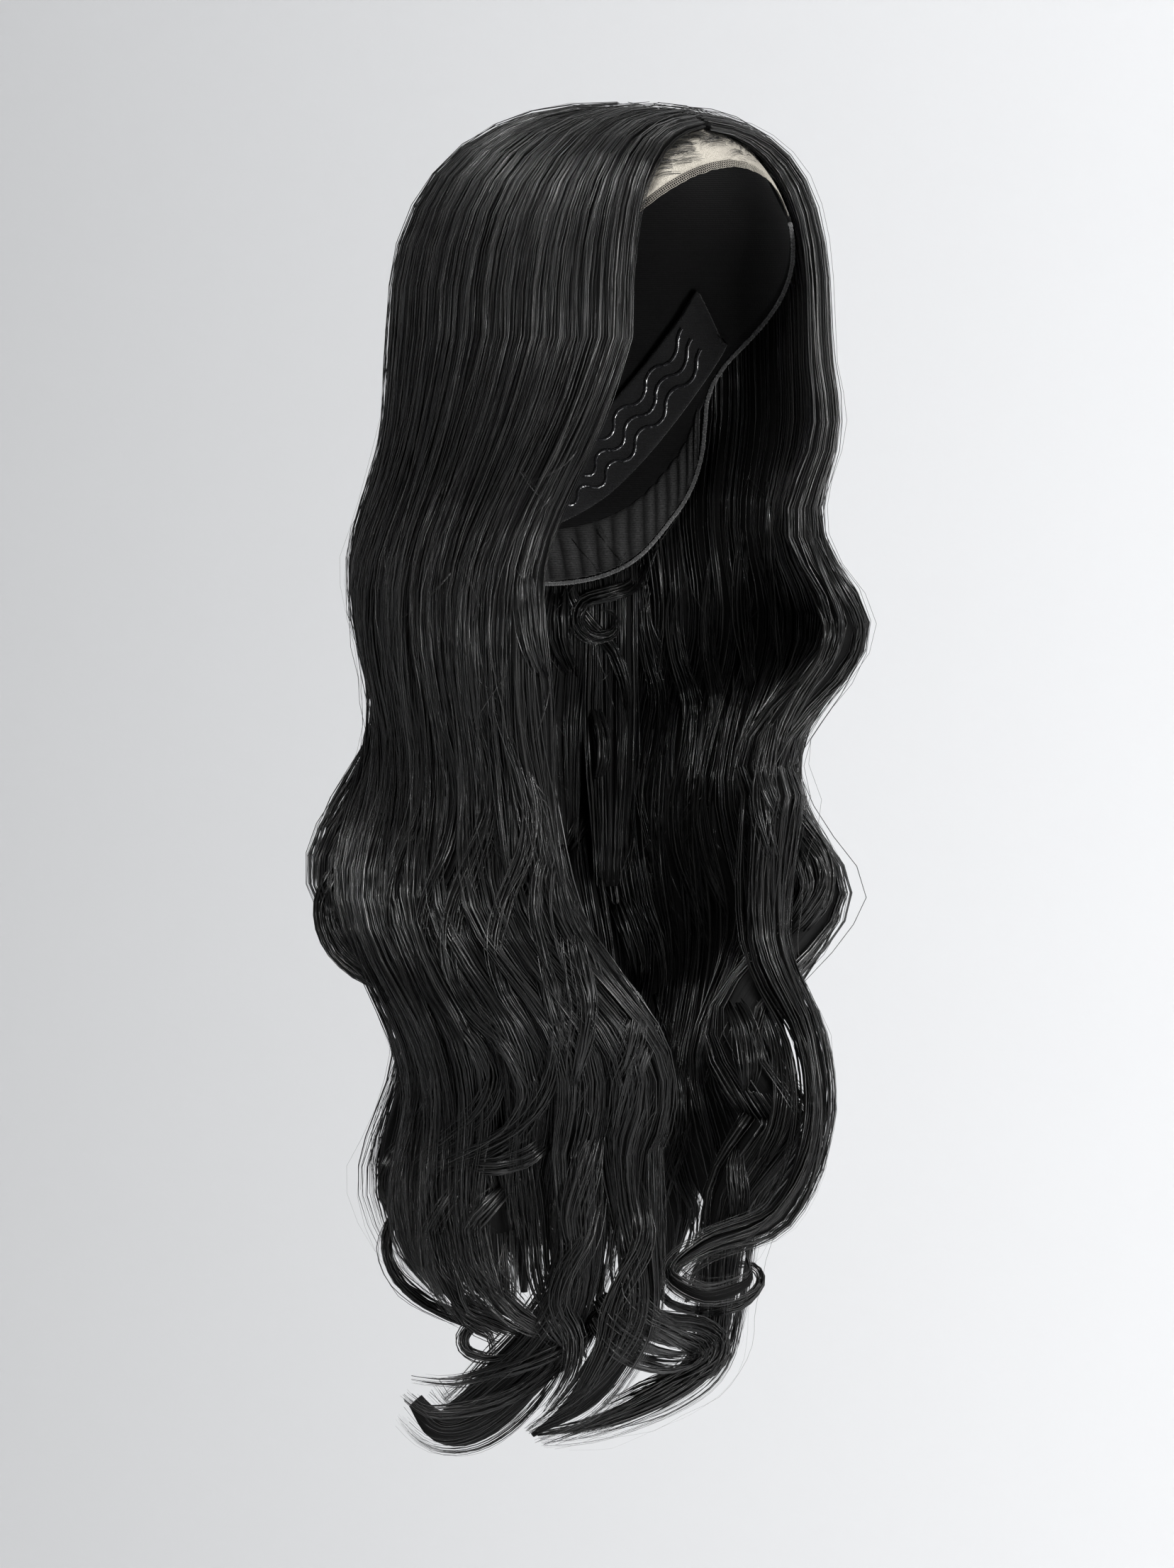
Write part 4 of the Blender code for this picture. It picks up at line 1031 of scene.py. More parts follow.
def grow(name, lines, layer, seed):
    label, style, copies, low, high, spread, drift, frizz = layer
    values = dict(style)
    values.update({
        "Copies": copies, "Depth Low": low, "Depth High": high, "Spread": spread,
        "Drift": drift, "Frizz": frizz, "Seed": seed,
    })
    return bake_tree(f"{name}_{label}", guide_mesh(name, lines), grow_hair, values)


hair_pieces = {}
for number, (name, _, _, _, outer_share, inner_share) in enumerate(PANELS):
    hair_pieces[name] = [bodies[name]]
    for kind, layers in enumerate((OUTER_LAYERS, INNER_LAYERS, EDGE_LAYERS)):
        amount = (outer_share, inner_share, 1.0)[kind]
        for k, (label, style, copies, *rest) in enumerate(layers):
            layer = (label, style, max(1, round(copies * amount)), *rest)
            hair_pieces[name].append(grow(name, guides[name][kind], layer, number * 10 + kind * 3 + k))

# %% [markdown]
# ## The nape's under layer
# A short layer is sewn along the outside of the nape band and hangs behind the neck.

# %% Nape hair
NAPE_LOCKS = 5
NAPE_ROWS = 14
NAPE_HALF_TURN = 50.0
NAPE_HAIR_TOP = CAP_DEPTH - 0.034
NAPE_HAIR_END = CAP_DEPTH + 0.140
NAPE_HAIR_THICKNESS = 0.012
NAPE_SPLIT = 0.45
NAPE_STEP = 0.06
NAPE_WAVE = 0.004
NAPE_WAVE_CYCLES = 1.4


def nape_point(turn, drop, lift):
    fall = 90.0 + (NAPE_FALL - 90.0) * (drop - CROWN_DEPTH) / (CAP_DEPTH - CROWN_DEPTH)
    place = head_point(turn, min(fall, NAPE_FALL), SEAT + lift)
    place.z = -drop
    return place


def nape_section(first, last, drop, thin):
    share = (drop - NAPE_HAIR_TOP) / (NAPE_HAIR_END - NAPE_HAIR_TOP)
    middle = (first + last) / 2
    narrow = 1.0 - TAIL_NARROWING * smooth_step((share - NAPE_SPLIT) / (1.0 - NAPE_SPLIT))
    free = smooth_step((drop - CAP_DEPTH) / (NAPE_HAIR_END - CAP_DEPTH) * 2.0)
    turning = 2.0 * math.pi * share * NAPE_WAVE_CYCLES + math.radians(middle)
    wave = NAPE_WAVE * free * (1.0 + math.sin(turning))
    return lambda across, depth: nape_point(
        middle + (first + (last - first) * across - middle) * narrow, drop,
        NAPE_HAIR_THICKNESS * thin * depth + wave,
    )


nape_locks = []
for index in range(NAPE_LOCKS):
    width = 2.0 * NAPE_HALF_TURN / NAPE_LOCKS
    first = 180.0 - NAPE_HALF_TURN + width * index
    end = NAPE_HAIR_END * (1.0 - NAPE_STEP * (index % 2))
    sections = []
    for k in range(NAPE_ROWS + 1):
        share = k / NAPE_ROWS
        thin = (0.35 + 0.65 * smooth_step(share * 4.0)) * (1.0 - 0.75 * share ** 3)
        drop = NAPE_HAIR_TOP + (end - NAPE_HAIR_TOP) * share
        sections.append((nape_section(first, first + width, drop, thin), smooth_step(share * 1.6 - 0.4)))
    nape_locks.append(sections)
nape_lines = []
for number, sections in enumerate(nape_locks):
    for j in range(3):
        nape_lines.append(face_guide(sections, (2 * j + 1) / 3 - 1.0, 0.36, True, 60.0 + number * 5 + j))
    nape_lines.append(face_guide(sections, 0.0, 0.9, False, 90.0 + number))
bodies["hair_nape"] = make_bodies("hair_nape_body", nape_locks)
hair_pieces["hair_nape"] = [bodies["hair_nape"]] + [
    grow("hair_nape", nape_lines, ("wisps", WISP, 10, -0.7, 0.2, 1.1, 0.6, 0.003), 91),
    grow("hair_nape", nape_lines, ("strands", STRAND, 10, -0.3, 0.7, 1.2, 0.9, 0.006), 92),
]

# %% [markdown]
# ## Brushed clumps
# Brushing gathers the lower hair into clumps that swing across one another, and this is what makes
# a body wave look soft. A clump is given as a row of points in the photograph's frame and a half
# width, both in pixels. A ray from the camera through each point finds the hair under it, and the
# clump is laid there, a little proud of the surface, with both ends tucked in unless they are free.
# Where the ray meets nothing the clump hangs free and makes an open loop, and where the hair below
# drops far back the clump ends and a new one begins behind.

# %% Lines of the clumps
CLUMPS = {
    "clumps_left": [
        # half width, lift in metres, free ends, points
        (7, 0.002, False, [(548, 760), (556, 860), (560, 960), (556, 1060), (540, 1130), (500, 1190),
                           (462, 1240), (450, 1290), (470, 1345), (520, 1385), (565, 1402)]),
        (5, 0.002, False, [(566, 1080), (552, 1130), (520, 1180), (484, 1222), (466, 1265), (472, 1315),
                           (505, 1357), (560, 1390)]),
        (3, 0.002, False, [(580, 1130), (550, 1185), (516, 1225), (494, 1265), (494, 1310), (522, 1350),
                           (560, 1382)]),
        (15, 0.004, False, [(590, 860), (586, 960), (600, 1050), (600, 1140), (575, 1210), (558, 1270),
                            (562, 1330), (585, 1390), (602, 1440), (640, 1480)]),
        (15, 0.004, False, [(628, 880), (620, 970), (642, 1060), (652, 1130), (640, 1200), (610, 1270),
                            (600, 1340), (620, 1400), (655, 1445), (700, 1490), (725, 1540)]),
        (14, 0.005, False, [(664, 920), (676, 1010), (694, 1080), (692, 1150), (668, 1220), (642, 1290),
                            (642, 1360), (672, 1420), (720, 1470), (752, 1530), (745, 1590)]),
        (13, 0.005, False, [(700, 900), (708, 1000), (736, 1085), (750, 1150), (742, 1210), (715, 1275),
                            (702, 1340), (716, 1400), (752, 1455), (778, 1515), (770, 1570)]),
    ],
    "clumps_middle": [
        (15, 0.006, False, [(742, 800), (746, 890), (768, 960), (808, 1020), (834, 1070), (824, 1120),
                            (794, 1170), (768, 1220), (762, 1280), (774, 1340), (792, 1400), (790, 1460)]),
        (12, 0.005, False, [(790, 820), (786, 900), (812, 960), (842, 1010), (850, 1070), (832, 1130),
                            (802, 1190), (786, 1240), (800, 1300), (832, 1355), (852, 1420)]),
        (8, 0.006, True, [(908, 790), (893, 825), (860, 838), (822, 850), (815, 880), (838, 900),
                          (866, 893), (870, 868), (850, 858)]),
        (8, 0.004, False, [(800, 800), (806, 845), (834, 885), (866, 920), (884, 980), (880, 1040)]),
        (13, 0.005, False, [(925, 780), (906, 860), (915, 920), (932, 980), (926, 1050), (914, 1120),
                            (925, 1190), (942, 1260), (928, 1330)]),
        (13, 0.005, False, [(970, 760), (950, 860), (958, 930), (976, 990), (972, 1060), (960, 1130),
                            (964, 1200), (986, 1270), (1002, 1340), (990, 1400)]),
        (12, 0.005, False, [(1015, 740), (1000, 860), (1004, 930), (1016, 1000), (1002, 1070), (990, 1140),
                            (1000, 1210), (1022, 1270), (1038, 1320), (1062, 1375)]),
        (15, 0.007, False, [(846, 1180), (860, 1240), (886, 1300), (902, 1360), (896, 1420), (880, 1480),
                            (860, 1540), (840, 1600), (824, 1660), (808, 1720), (818, 1780)]),
        (14, 0.006, False, [(898, 1180), (914, 1270), (936, 1330), (940, 1390), (916, 1450), (892, 1510),
                            (876, 1570), (866, 1630), (862, 1700), (882, 1760), (900, 1810)]),
        (14, 0.007, False, [(812, 1220), (806, 1300), (816, 1360), (826, 1420), (816, 1480), (802, 1540),
                            (786, 1590), (750, 1625), (700, 1642), (645, 1640)]),
        (13, 0.006, False, [(768, 1270), (764, 1350), (776, 1410), (786, 1460), (776, 1520), (750, 1570),
                            (710, 1605), (660, 1628), (600, 1642), (548, 1655)]),
        (13, 0.004, False, [(930, 1400), (956, 1480), (970, 1540), (966, 1600), (946, 1660), (930, 1720),
                            (925, 1790)]),
    ],
    "clumps_right": [
        (10, 0.004, False, [(1052, 740), (1046, 830), (1050, 900), (1060, 980), (1070, 1050), (1082, 1110),
                            (1110, 1170), (1134, 1215), (1140, 1255), (1115, 1300), (1078, 1345)]),
        (10, 0.004, False, [(1086, 680), (1090, 780), (1100, 860), (1104, 930), (1096, 1000), (1080, 1070),
                            (1072, 1130), (1084, 1190), (1100, 1240), (1090, 1290), (1062, 1330)]),
        (9, 0.003, False, [(1120, 690), (1125, 770), (1150, 830), (1174, 880), (1164, 930), (1130, 980),
                           (1102, 1040), (1096, 1100), (1126, 1160), (1160, 1210), (1164, 1250),
                           (1130, 1300), (1085, 1345), (1066, 1385)]),
        (5, 0.003, True, [(1146, 700), (1166, 790), (1204, 860), (1212, 900), (1190, 950), (1145, 995),
                          (1110, 1045), (1100, 1095)]),
        (3, 0.003, True, [(1130, 700), (1158, 800), (1186, 870), (1180, 920), (1145, 975), (1110, 1030)]),
        (4, 0.003, False, [(1096, 1090), (1136, 1155), (1163, 1202), (1172, 1240), (1160, 1283), (1112, 1335),
                           (1062, 1378)]),
        (15, 0.006, False, [(985, 1330), (1018, 1390), (1046, 1450), (1056, 1510), (1050, 1570), (1040, 1640),
                            (1044, 1700), (1028, 1742), (980, 1758), (935, 1775)]),
        (13, 0.006, False, [(1030, 1350), (1076, 1410), (1100, 1470), (1106, 1530), (1098, 1590),
                            (1074, 1640), (1060, 1700), (1048, 1745), (1000, 1765), (950, 1782)]),
        (4, 0.003, True, [(1052, 1372), (1112, 1424), (1144, 1490), (1152, 1570), (1136, 1650), (1096, 1710),
                          (1048, 1752)]),
    ],
    "clumps_ends": [
        (16, 0.002, False, [(690, 1580), (712, 1690), (728, 1760), (745, 1810), (770, 1860), (805, 1905)]),
        (16, 0.002, False, [(735, 1580), (752, 1690), (758, 1760), (765, 1815), (785, 1860), (815, 1905)]),
        (16, 0.002, False, [(785, 1580), (792, 1690), (796, 1770), (800, 1830), (806, 1880), (812, 1920)]),
        (15, 0.002, False, [(850, 1580), (848, 1690), (844, 1760), (842, 1820), (836, 1870), (820, 1915)]),
        (16, 0.002, False, [(572, 1600), (570, 1690), (586, 1765), (618, 1815), (664, 1852), (715, 1885)]),
        (16, 0.002, False, [(606, 1580), (608, 1690), (622, 1760), (650, 1806), (694, 1842), (745, 1876)]),
        (16, 0.002, False, [(644, 1580), (652, 1690), (666, 1760), (690, 1802), (728, 1838), (772, 1874)]),
        (16, 0.002, False, [(880, 1600), (886, 1700), (884, 1770), (892, 1820), (925, 1858), (975, 1878)]),
        (15, 0.003, True, [(846, 1830), (880, 1868), (930, 1894), (975, 1902), (1006, 1902)]),
        (14, 0.003, True, [(836, 1860), (866, 1900), (905, 1922), (950, 1928), (990, 1918)]),
        (13, 0.006, False, [(688, 1390), (700, 1450), (730, 1500), (746, 1550), (726, 1595), (680, 1626),
                            (620, 1650), (566, 1690), (546, 1745)]),
        (13, 0.006, False, [(640, 1370), (650, 1430), (685, 1475), (700, 1520), (680, 1570), (635, 1610),
                            (586, 1650), (560, 1700), (576, 1750), (620, 1788)]),
        (11, 0.005, False, [(598, 1400), (612, 1470), (620, 1520), (600, 1570), (566, 1615), (546, 1660),
                            (550, 1700), (582, 1735)]),
        (10, 0.004, False, [(600, 1670), (558, 1715), (545, 1760), (562, 1805), (602, 1840), (650, 1862),
                            (690, 1885), (695, 1920)]),
        (13, 0.005, False, [(655, 1660), (616, 1720), (602, 1765), (616, 1810), (656, 1842), (700, 1862),
                            (745, 1885)]),
        (14, 0.006, False, [(764, 1620), (705, 1685), (662, 1735), (662, 1782), (692, 1822), (732, 1858),
                            (780, 1885)]),
        (13, 0.006, False, [(806, 1660), (762, 1730), (742, 1782), (756, 1832), (790, 1872), (824, 1920)]),
        (13, 0.006, False, [(846, 1660), (830, 1740), (802, 1790), (790, 1840), (810, 1890), (802, 1940),
                            (768, 1995)]),
        (12, 0.006, True, [(880, 1620), (902, 1700), (906, 1750), (882, 1800), (862, 1850), (850, 1900),
                           (820, 1960), (780, 2010), (750, 2040)]),
        (5, 0.003, True, [(1010, 1730), (945, 1768), (925, 1805), (945, 1838), (990, 1850), (1040, 1842),
                          (1072, 1812), (1062, 1787), (1025, 1787), (985, 1815)]),
        (9, 0.004, True, [(870, 1820), (812, 1888), (760, 1915), (700, 1935), (640, 1950), (580, 1944)]),
        (11, 0.003, True, [(836, 1870), (775, 1930), (720, 1966), (660, 1986), (604, 1990), (568, 1965)]),
        (8, 0.002, True, [(806, 1905), (766, 1965), (715, 2020), (655, 2052), (605, 2032), (572, 1990)]),
        (12, 0.003, True, [(880, 1835), (930, 1862), (990, 1872), (1016, 1895), (1000, 1926), (950, 1952),
                           (890, 1984), (830, 2012), (765, 2036)]),
        (10, 0.003, True, [(890, 1850), (960, 1888), (988, 1908), (962, 1938), (905, 1960), (850, 1985)]),
        (6, 0.003, True, [(715, 1866), (676, 1866), (654, 1886), (662, 1908), (697, 1916), (745, 1904)]),
    ],
}
CLUMP_PITCH = 38.0
KNOT_STEPS = 3
CLUMP_TUCK = 0.004
CLUMP_JUMP = 0.014
RUN_STEPS = 4
CLUMP_END = 0.55
CLUMP_WISP = {"Width": 0.0015, "Thickness": 0.0006, "Tip": 0.35, "Shortest": 0.70, "Material": wisp_black}
CLUMP_LAYERS = [
    ("wisps", CLUMP_WISP, 17, -0.90, 0.50, 1.00, 0.60, 0.0016),
    ("strands", STRAND, 15, -0.40, 1.00, 1.15, 0.90, 0.0030),
]


def smooth_row(knots, count):
    """Points at even steps on a smooth line through knots in the frame."""
    knots = [Vector(knot) for knot in knots]
    row = []
    for k in range(count + 1):
        at = (len(knots) - 1) * k / count
        index = min(int(at), len(knots) - 2)
        share = at - index
        before, first, last, after = [knots[min(max(index + d, 0), len(knots) - 1)] for d in (-1, 0, 1, 2)]
        square, cube = share * share, share ** 3
        row.append(
            (before * (-cube + 2 * square - share) + first * (3 * cube - 5 * square + 2)
             + last * (-3 * cube + 4 * square + share) + after * (cube - square)) / 2
        )
    return row


def body_surface():
    """All bodies of the locks as one surface that rays can meet."""
    verts, faces = [], []
    for made in bodies.values():
        first = len(verts)
        verts += [vertex.co.copy() for vertex in made.data.vertices]
        faces += [[first + i for i in face.vertices] for face in made.data.polygons]
    return BVHTree.FromPolygons(verts, faces)


surface = body_surface()
view_place = camera.location.copy()


def view_ray(spot):
    plane = aim + right * (spot.x - PHOTO_WIDTH / 2) / PIXELS_A_METRE
    plane += up * (PHOTO_HEIGHT / 2 - spot.y) / PIXELS_A_METRE
    return (plane - view_place).normalized()


def even_depths(depths):
    """Depths smoothed along the row, never deeper than the hair itself."""
    last = len(depths) - 1
    even = depths
    for _ in range(3):
        even = [(even[max(k - 1, 0)] + even[k] + even[min(k + 1, last)]) / 3 for k in range(last + 1)]
    return [min(a, b) for a, b in zip(even, depths)]


def depth_runs(rays):
    """Distances along the rays to the hair, in runs that break where one surface hides another."""
    found = [surface.ray_cast(view_place, ray)[3] for ray in rays]
    met = [k for k, value in enumerate(found) if value is not None]
    if not met:
        return []
    filled = []
    for k in range(len(found)):
        low = max((m for m in met if m <= k), default=met[0])
        high = min((m for m in met if m >= k), default=met[-1])
        share = (k - low) / (high - low) if high > low else 0.0
        filled.append(found[low] + (found[high] - found[low]) * share)
    jumps = [k + 1 for k, (a, b) in enumerate(zip(filled, filled[1:])) if abs(a - b) > CLUMP_JUMP]
    cuts = [0] + jumps + [len(filled)]
    return [(first, even_depths(filled[first:last])) for first, last in zip(cuts, cuts[1:])]


def clump_guides(half_width, lift, free_end, knots):
    """Guide lines of one clump, one for each run of hair that it crosses."""
    reach = sum((Vector(b) - Vector(a)).length for a, b in zip(knots, knots[1:]))
    count = max(KNOT_STEPS * (len(knots) - 1), round(reach / CLUMP_PITCH))
    spots = smooth_row(knots, count)
    rays = [view_ray(spot) for spot in spots]
    lines = []
    for first, depths in depth_runs(rays):
        steps = len(depths) - 1
        if steps < RUN_STEPS:
            continue
        free = free_end and first + steps == count
        line = []
        for j, depth in enumerate(depths):
            k = first + j
            share = j / steps
            begin = smooth_step(share / 0.22)
            end = 1.0 if free else smooth_step((1.0 - share) / 0.22)
            rise = lift * begin * end - CLUMP_TUCK * (1.0 - begin * end)
            step = spots[min(k + 1, count)] - spots[max(k - 1, 0)]
            sideways = Vector((step.y, -step.x)).normalized()
            full = CLUMP_END + (1.0 - CLUMP_END) * math.sin(math.pi * min(1.0, share * 1.15)) ** 0.7
            across = (right * sideways.x - up * sideways.y) * half_width * full / PIXELS_A_METRE
            outward = -rays[k] * min(LAYER, 1.2 * across.length + 0.0006)
            line.append((view_place + rays[k] * (depth - rise), across, outward, 0.34 + 0.011 * k))
        lines.append(line)
    return lines


clump_pieces = []
for number, (name, rows) in enumerate(CLUMPS.items()):
    clump_lines = [line for row in rows for line in clump_guides(*row)]
    for k, layer in enumerate(CLUMP_LAYERS):
        clump_pieces.append(grow(name, clump_lines, layer, 300 + 10 * number + k))

# %% [markdown]
# Single hairs also lie across the clumps at all angles. Each one starts at a random point of the
# seen side, runs more or less downwards on an arc of its own, and is laid on the hair in the same way.

# %% Crossing hairs
CROSSING_COUNT = 170
CROSSING_ZONE = ((545, 1130), (620, 1900))
CROSSING_LEAN = 0.75
CROSSING_BEND = 0.9
CROSSING_REACH = (70.0, 210.0)
CROSSING_STEPS = 4
CROSSING_HALF_WIDTH = 4.0
CROSSING_LIFT = 0.0045
CROSSING = ("crossing_hairs", dict(STRAY, Width=0.00026, Thickness=0.00026), 2, -0.5, 1.0, 1.0, 1.2, 0.002)


def on_hair(spot):
    return surface.ray_cast(view_place, view_ray(spot))[0] is not None


def crossing_hair(dice):
    spot = Vector((0.0, 0.0))
    while not on_hair(spot):
        spot = Vector((dice.uniform(*CROSSING_ZONE[0]), dice.uniform(*CROSSING_ZONE[1])))
    heading = dice.uniform(-CROSSING_LEAN, CROSSING_LEAN)
    bend = dice.uniform(-CROSSING_BEND, CROSSING_BEND)
    reach = dice.uniform(*CROSSING_REACH)
    knots = []
    for k in range(CROSSING_STEPS + 1):
        angle = heading + bend * k / CROSSING_STEPS
        knots.append(tuple(spot))
        spot = spot + Vector((math.sin(angle), math.cos(angle))) * reach / CROSSING_STEPS
        if not on_hair(spot):
            break
    return clump_guides(CROSSING_HALF_WIDTH, CROSSING_LIFT, True, knots) if len(knots) > 2 else []


dice = random.Random(12)
crossing_lines = [line for _ in range(CROSSING_COUNT) for line in crossing_hair(dice)]
clump_pieces.append(grow("brushed", crossing_lines, CROSSING, 390))

# %% [markdown]
# ## The net front
# The hairline's net is a fine cream mesh. Over most of its area the holes are too small to see,
# but along the raw edge they show black against the inside. The net is therefore a thin curved
# shell, with a strip of real open mesh along its edge, each thread a thin tube.

# %% Net finish
NET_DARK = (0.075, 0.068, 0.056)
NET_MIDDLE = (0.135, 0.124, 0.104)
NET_LIGHT = (0.21, 0.196, 0.166)


def net_finish():
    made, tree, shader = new_finish("net_cream", (0.30, 0.28, 0.23), 0.80)
    place = add_node(tree, "ShaderNodeTexCoord").outputs["Object"]
    cells = add_node(tree, "ShaderNodeTexVoronoi", {"Vector": place, "Scale": 1500.0},
                     feature="DISTANCE_TO_EDGE")
    cloud = add_node(tree, "ShaderNodeTexNoise", {"Vector": place, "Scale": 90.0, "Detail": 4.0})
    thread = ramp(tree, cells.outputs["Distance"], [(0.0, 1.0), (0.35, 0.0)])
    blend = maths(tree, "ADD", maths(tree, "MULTIPLY", thread, 0.5),
                  maths(tree, "MULTIPLY", cloud.outputs["Fac"], 0.5))
    colour = ramp(tree, blend, [(0.15, NET_DARK), (0.55, NET_MIDDLE), (0.85, NET_LIGHT)])
    tree.links.new(colour, shader.inputs["Base Color"])
    tree.links.new(bump(tree, thread, 0.6, 0.0002), shader.inputs["Normal"])
    return made


net_cream = net_finish()
NET_LIFT = 0.0006
NET_WALL = 0.0004
NET_ROWS = 16
NET_TURNS = 120
STRIP_WIDTH = 0.0040
NET_PITCH = 0.00105
NET_LAST_TURN = LACE_SEAM[-1][0]


def net_point(turn, share, lift):
    """Place on the net from its seam, share 0, to the top of its open strip, share 1."""
    edge = rim_fall(turn) - fall_step(turn, rim_fall(turn), STRIP_WIDTH)
    top = seam_fall(turn)
    return head_point(turn, top + (edge - top) * share ** 0.8, lift)


def make_net_shell():
    turns = [NET_LAST_TURN * (2.0 * i / NET_TURNS - 1.0) for i in range(NET_TURNS + 1)]
    rows = NET_ROWS + 1
    verts = []
    for lift in (NET_LIFT, NET_LIFT + NET_WALL):
        for turn in turns:
            verts += [net_point(turn, k / NET_ROWS, lift) for k in range(rows)]
    return mesh_object("lace_net", verts, wall_faces(len(turns), rows), net_cream)


lace_net = make_net_shell()

# %% [markdown]
# The open strip starts as a flat honeycomb drawn on the head: a table of points and edges. A tree
# then turns every edge into a thin thread.

# %% Open strip of the net
THREAD_WIDTH = 0.00024
FLAP_RUFFLE = 0.0010
STRIP_ROWS = 4


def strip_place(turn, depth):
    """Place on the strip: depth 0 at its top and 1 at the cut edge, which is a little ragged."""
    ragged = 0.0007 * noise.noise(Vector((turn * 0.35, 0.0, 2.0)))
    ragged += FLAP_RUFFLE * smooth_step((turn - 26.0) / 6.0) * math.sin(turn * 0.9)
    edge = rim_fall(turn) + fall_step(turn, rim_fall(turn), ragged)
    top = rim_fall(turn) - fall_step(turn, rim_fall(turn), STRIP_WIDTH + 0.0003)
    return head_point(turn, top + (edge - top) * depth, NET_LIFT + NET_WALL / 2)


def honeycomb_mesh():
    """Edges of a honeycomb that covers the strip, with a closing thread along the cut edge."""
    length = 0.0
    turn = -NET_LAST_TURN
    turns = []
    while turn < NET_LAST_TURN:
        turns.append(turn)
        moved = (strip_place(turn + 0.1, 1.0) - strip_place(turn, 1.0)).length
        turn += 0.1 * (NET_PITCH / 2) / moved
        length += NET_PITCH / 2
    verts, edges, index = [], [], {}
    for row in range(STRIP_ROWS + 1):
        for column, turn in enumerate(turns):
            zigzag = 0.13 if (row + column) % 2 else -0.13
            depth = min(1.0, max(0.0, (row + zigzag) / STRIP_ROWS))
            index[row, column] = len(verts)
            verts.append(strip_place(turn, depth))
    for row in range(STRIP_ROWS + 1):
        for column in range(len(turns) - 1):
            edges.append((index[row, column], index[row, column + 1]))
            if row < STRIP_ROWS and (row + column) % 2:
                edges.append((index[row, column], index[row + 1, column]))
    print("strip length:", round(length, 3), "m, threads:", len(edges))
    mesh = bpy.data.meshes.new("honeycomb")
    mesh.from_pydata(verts, edges, [])
    return mesh


def thread_tree():
    tree, given = geometry_tree("net_threads", [("Width", "Float"), ("Material", "Material")])
    put = given.outputs
    parts = add_node(tree, "GeometryNodeSplitEdges", {0: put["Geometry"]})
    lines = add_node(tree, "GeometryNodeMeshToCurve", {0: parts.outputs[0]})
    ring = add_node(tree, "GeometryNodeCurvePrimitiveCircle", mode="RADIUS")
    ring.inputs["Resolution"].default_value = 3
    tree.links.new(maths(tree, "MULTIPLY", put["Width"], 0.5), ring.inputs["Radius"])
    tube = add_node(tree, "GeometryNodeCurveToMesh", {0: lines.outputs[0], 1: ring.outputs[0]})
    tube.inputs["Fill Caps"].default_value = True
    smooth = add_node(tree, "GeometryNodeSetShadeSmooth", {0: tube.outputs[0]})
    end_tree(tree, smooth.outputs[0], put["Material"])
    return tree


lace_strip = bake_tree("lace_open_strip", honeycomb_mesh(), thread_tree(),
                       {"Width": THREAD_WIDTH, "Material": net_cream})

# %% [markdown]
# ## Hairs knotted into the net
# Each hair of the hairline is tied to the net by hand. Near the edge they are sparse and short of
# the raw strip, and they grow denser towards the parting. Each one lies back and to its own side.

# %% Knotted hairs
ROOT_LINES = 230
ROOT_POINTS = 9
ROOT_PARTING = 24.0
ROOT_TURN_RATE = 620.0
ROOT_RISE = 0.06
ROOT_FALL_BACK = 7.0
ROOT_FIRST_LIFT = 0.0002
ROOT_LAST_LIFT = 0.0016
ROOT_HALF_WIDTH = 0.0040
ROOT_HALF_DEPTH = 0.0006
ROOT_LAST_TURN = 64.0
ROOT_LENGTHS = (0.012, 0.030)


def root_line(turn, start, length):
    """Guide for hairs that leave the net at a place and lie back to their side."""
    side = 1.0 if turn >= ROOT_PARTING else -1.0
    line = []
    travelled = 0.0
    for k in range(ROOT_POINTS):
        share = k / (ROOT_POINTS - 1)
        around = turn + side * length * share * ROOT_TURN_RATE
        fall = start * (1.0 - ROOT_RISE * share) + ROOT_FALL_BACK * share * share
        lift = NET_LIFT + NET_WALL + ROOT_FIRST_LIFT + ROOT_LAST_LIFT * share
        place = head_point(around, fall, lift)
        ahead = head_point(around, fall + 1.0, lift) - place
        outward = head_point(around, fall, lift + 0.001) - place
        if line:
            travelled += (place - line[-1][0]).length
        across = ahead.normalized() * ROOT_HALF_WIDTH
        line.append((place, across, outward.normalized() * ROOT_HALF_DEPTH, travelled))
    return line


def root_guides():
    dice = random.Random(5)
    lines = []
    for _ in range(ROOT_LINES):
        turn = dice.uniform(-ROOT_LAST_TURN, ROOT_LAST_TURN)
        edge = rim_fall(turn)
        inside = dice.random() ** 0.8
        start = edge - fall_step(turn, edge, 0.0065 + 0.034 * inside)
        start = max(start, seam_fall(turn) + 2.0)
        lines.append(root_line(turn, start, dice.uniform(*ROOT_LENGTHS)))
    return lines


FINE_HAIR = dict(STRAND, Width=0.00022, Thickness=0.00022, Tip=0.5, Shortest=0.4)
lace_roots = grow("lace", root_guides(), ("knotted_hairs", FINE_HAIR, 6, -1.0, 1.0, 1.0, 0.6, 0.0015), 201)

# %% [markdown]
# ## The stretch cap
# Behind the net the cap is a fine black stretch knit. Its dome is one thin wall, laid out with
# more rows than the solid so that the inside is smooth where light falls on it.

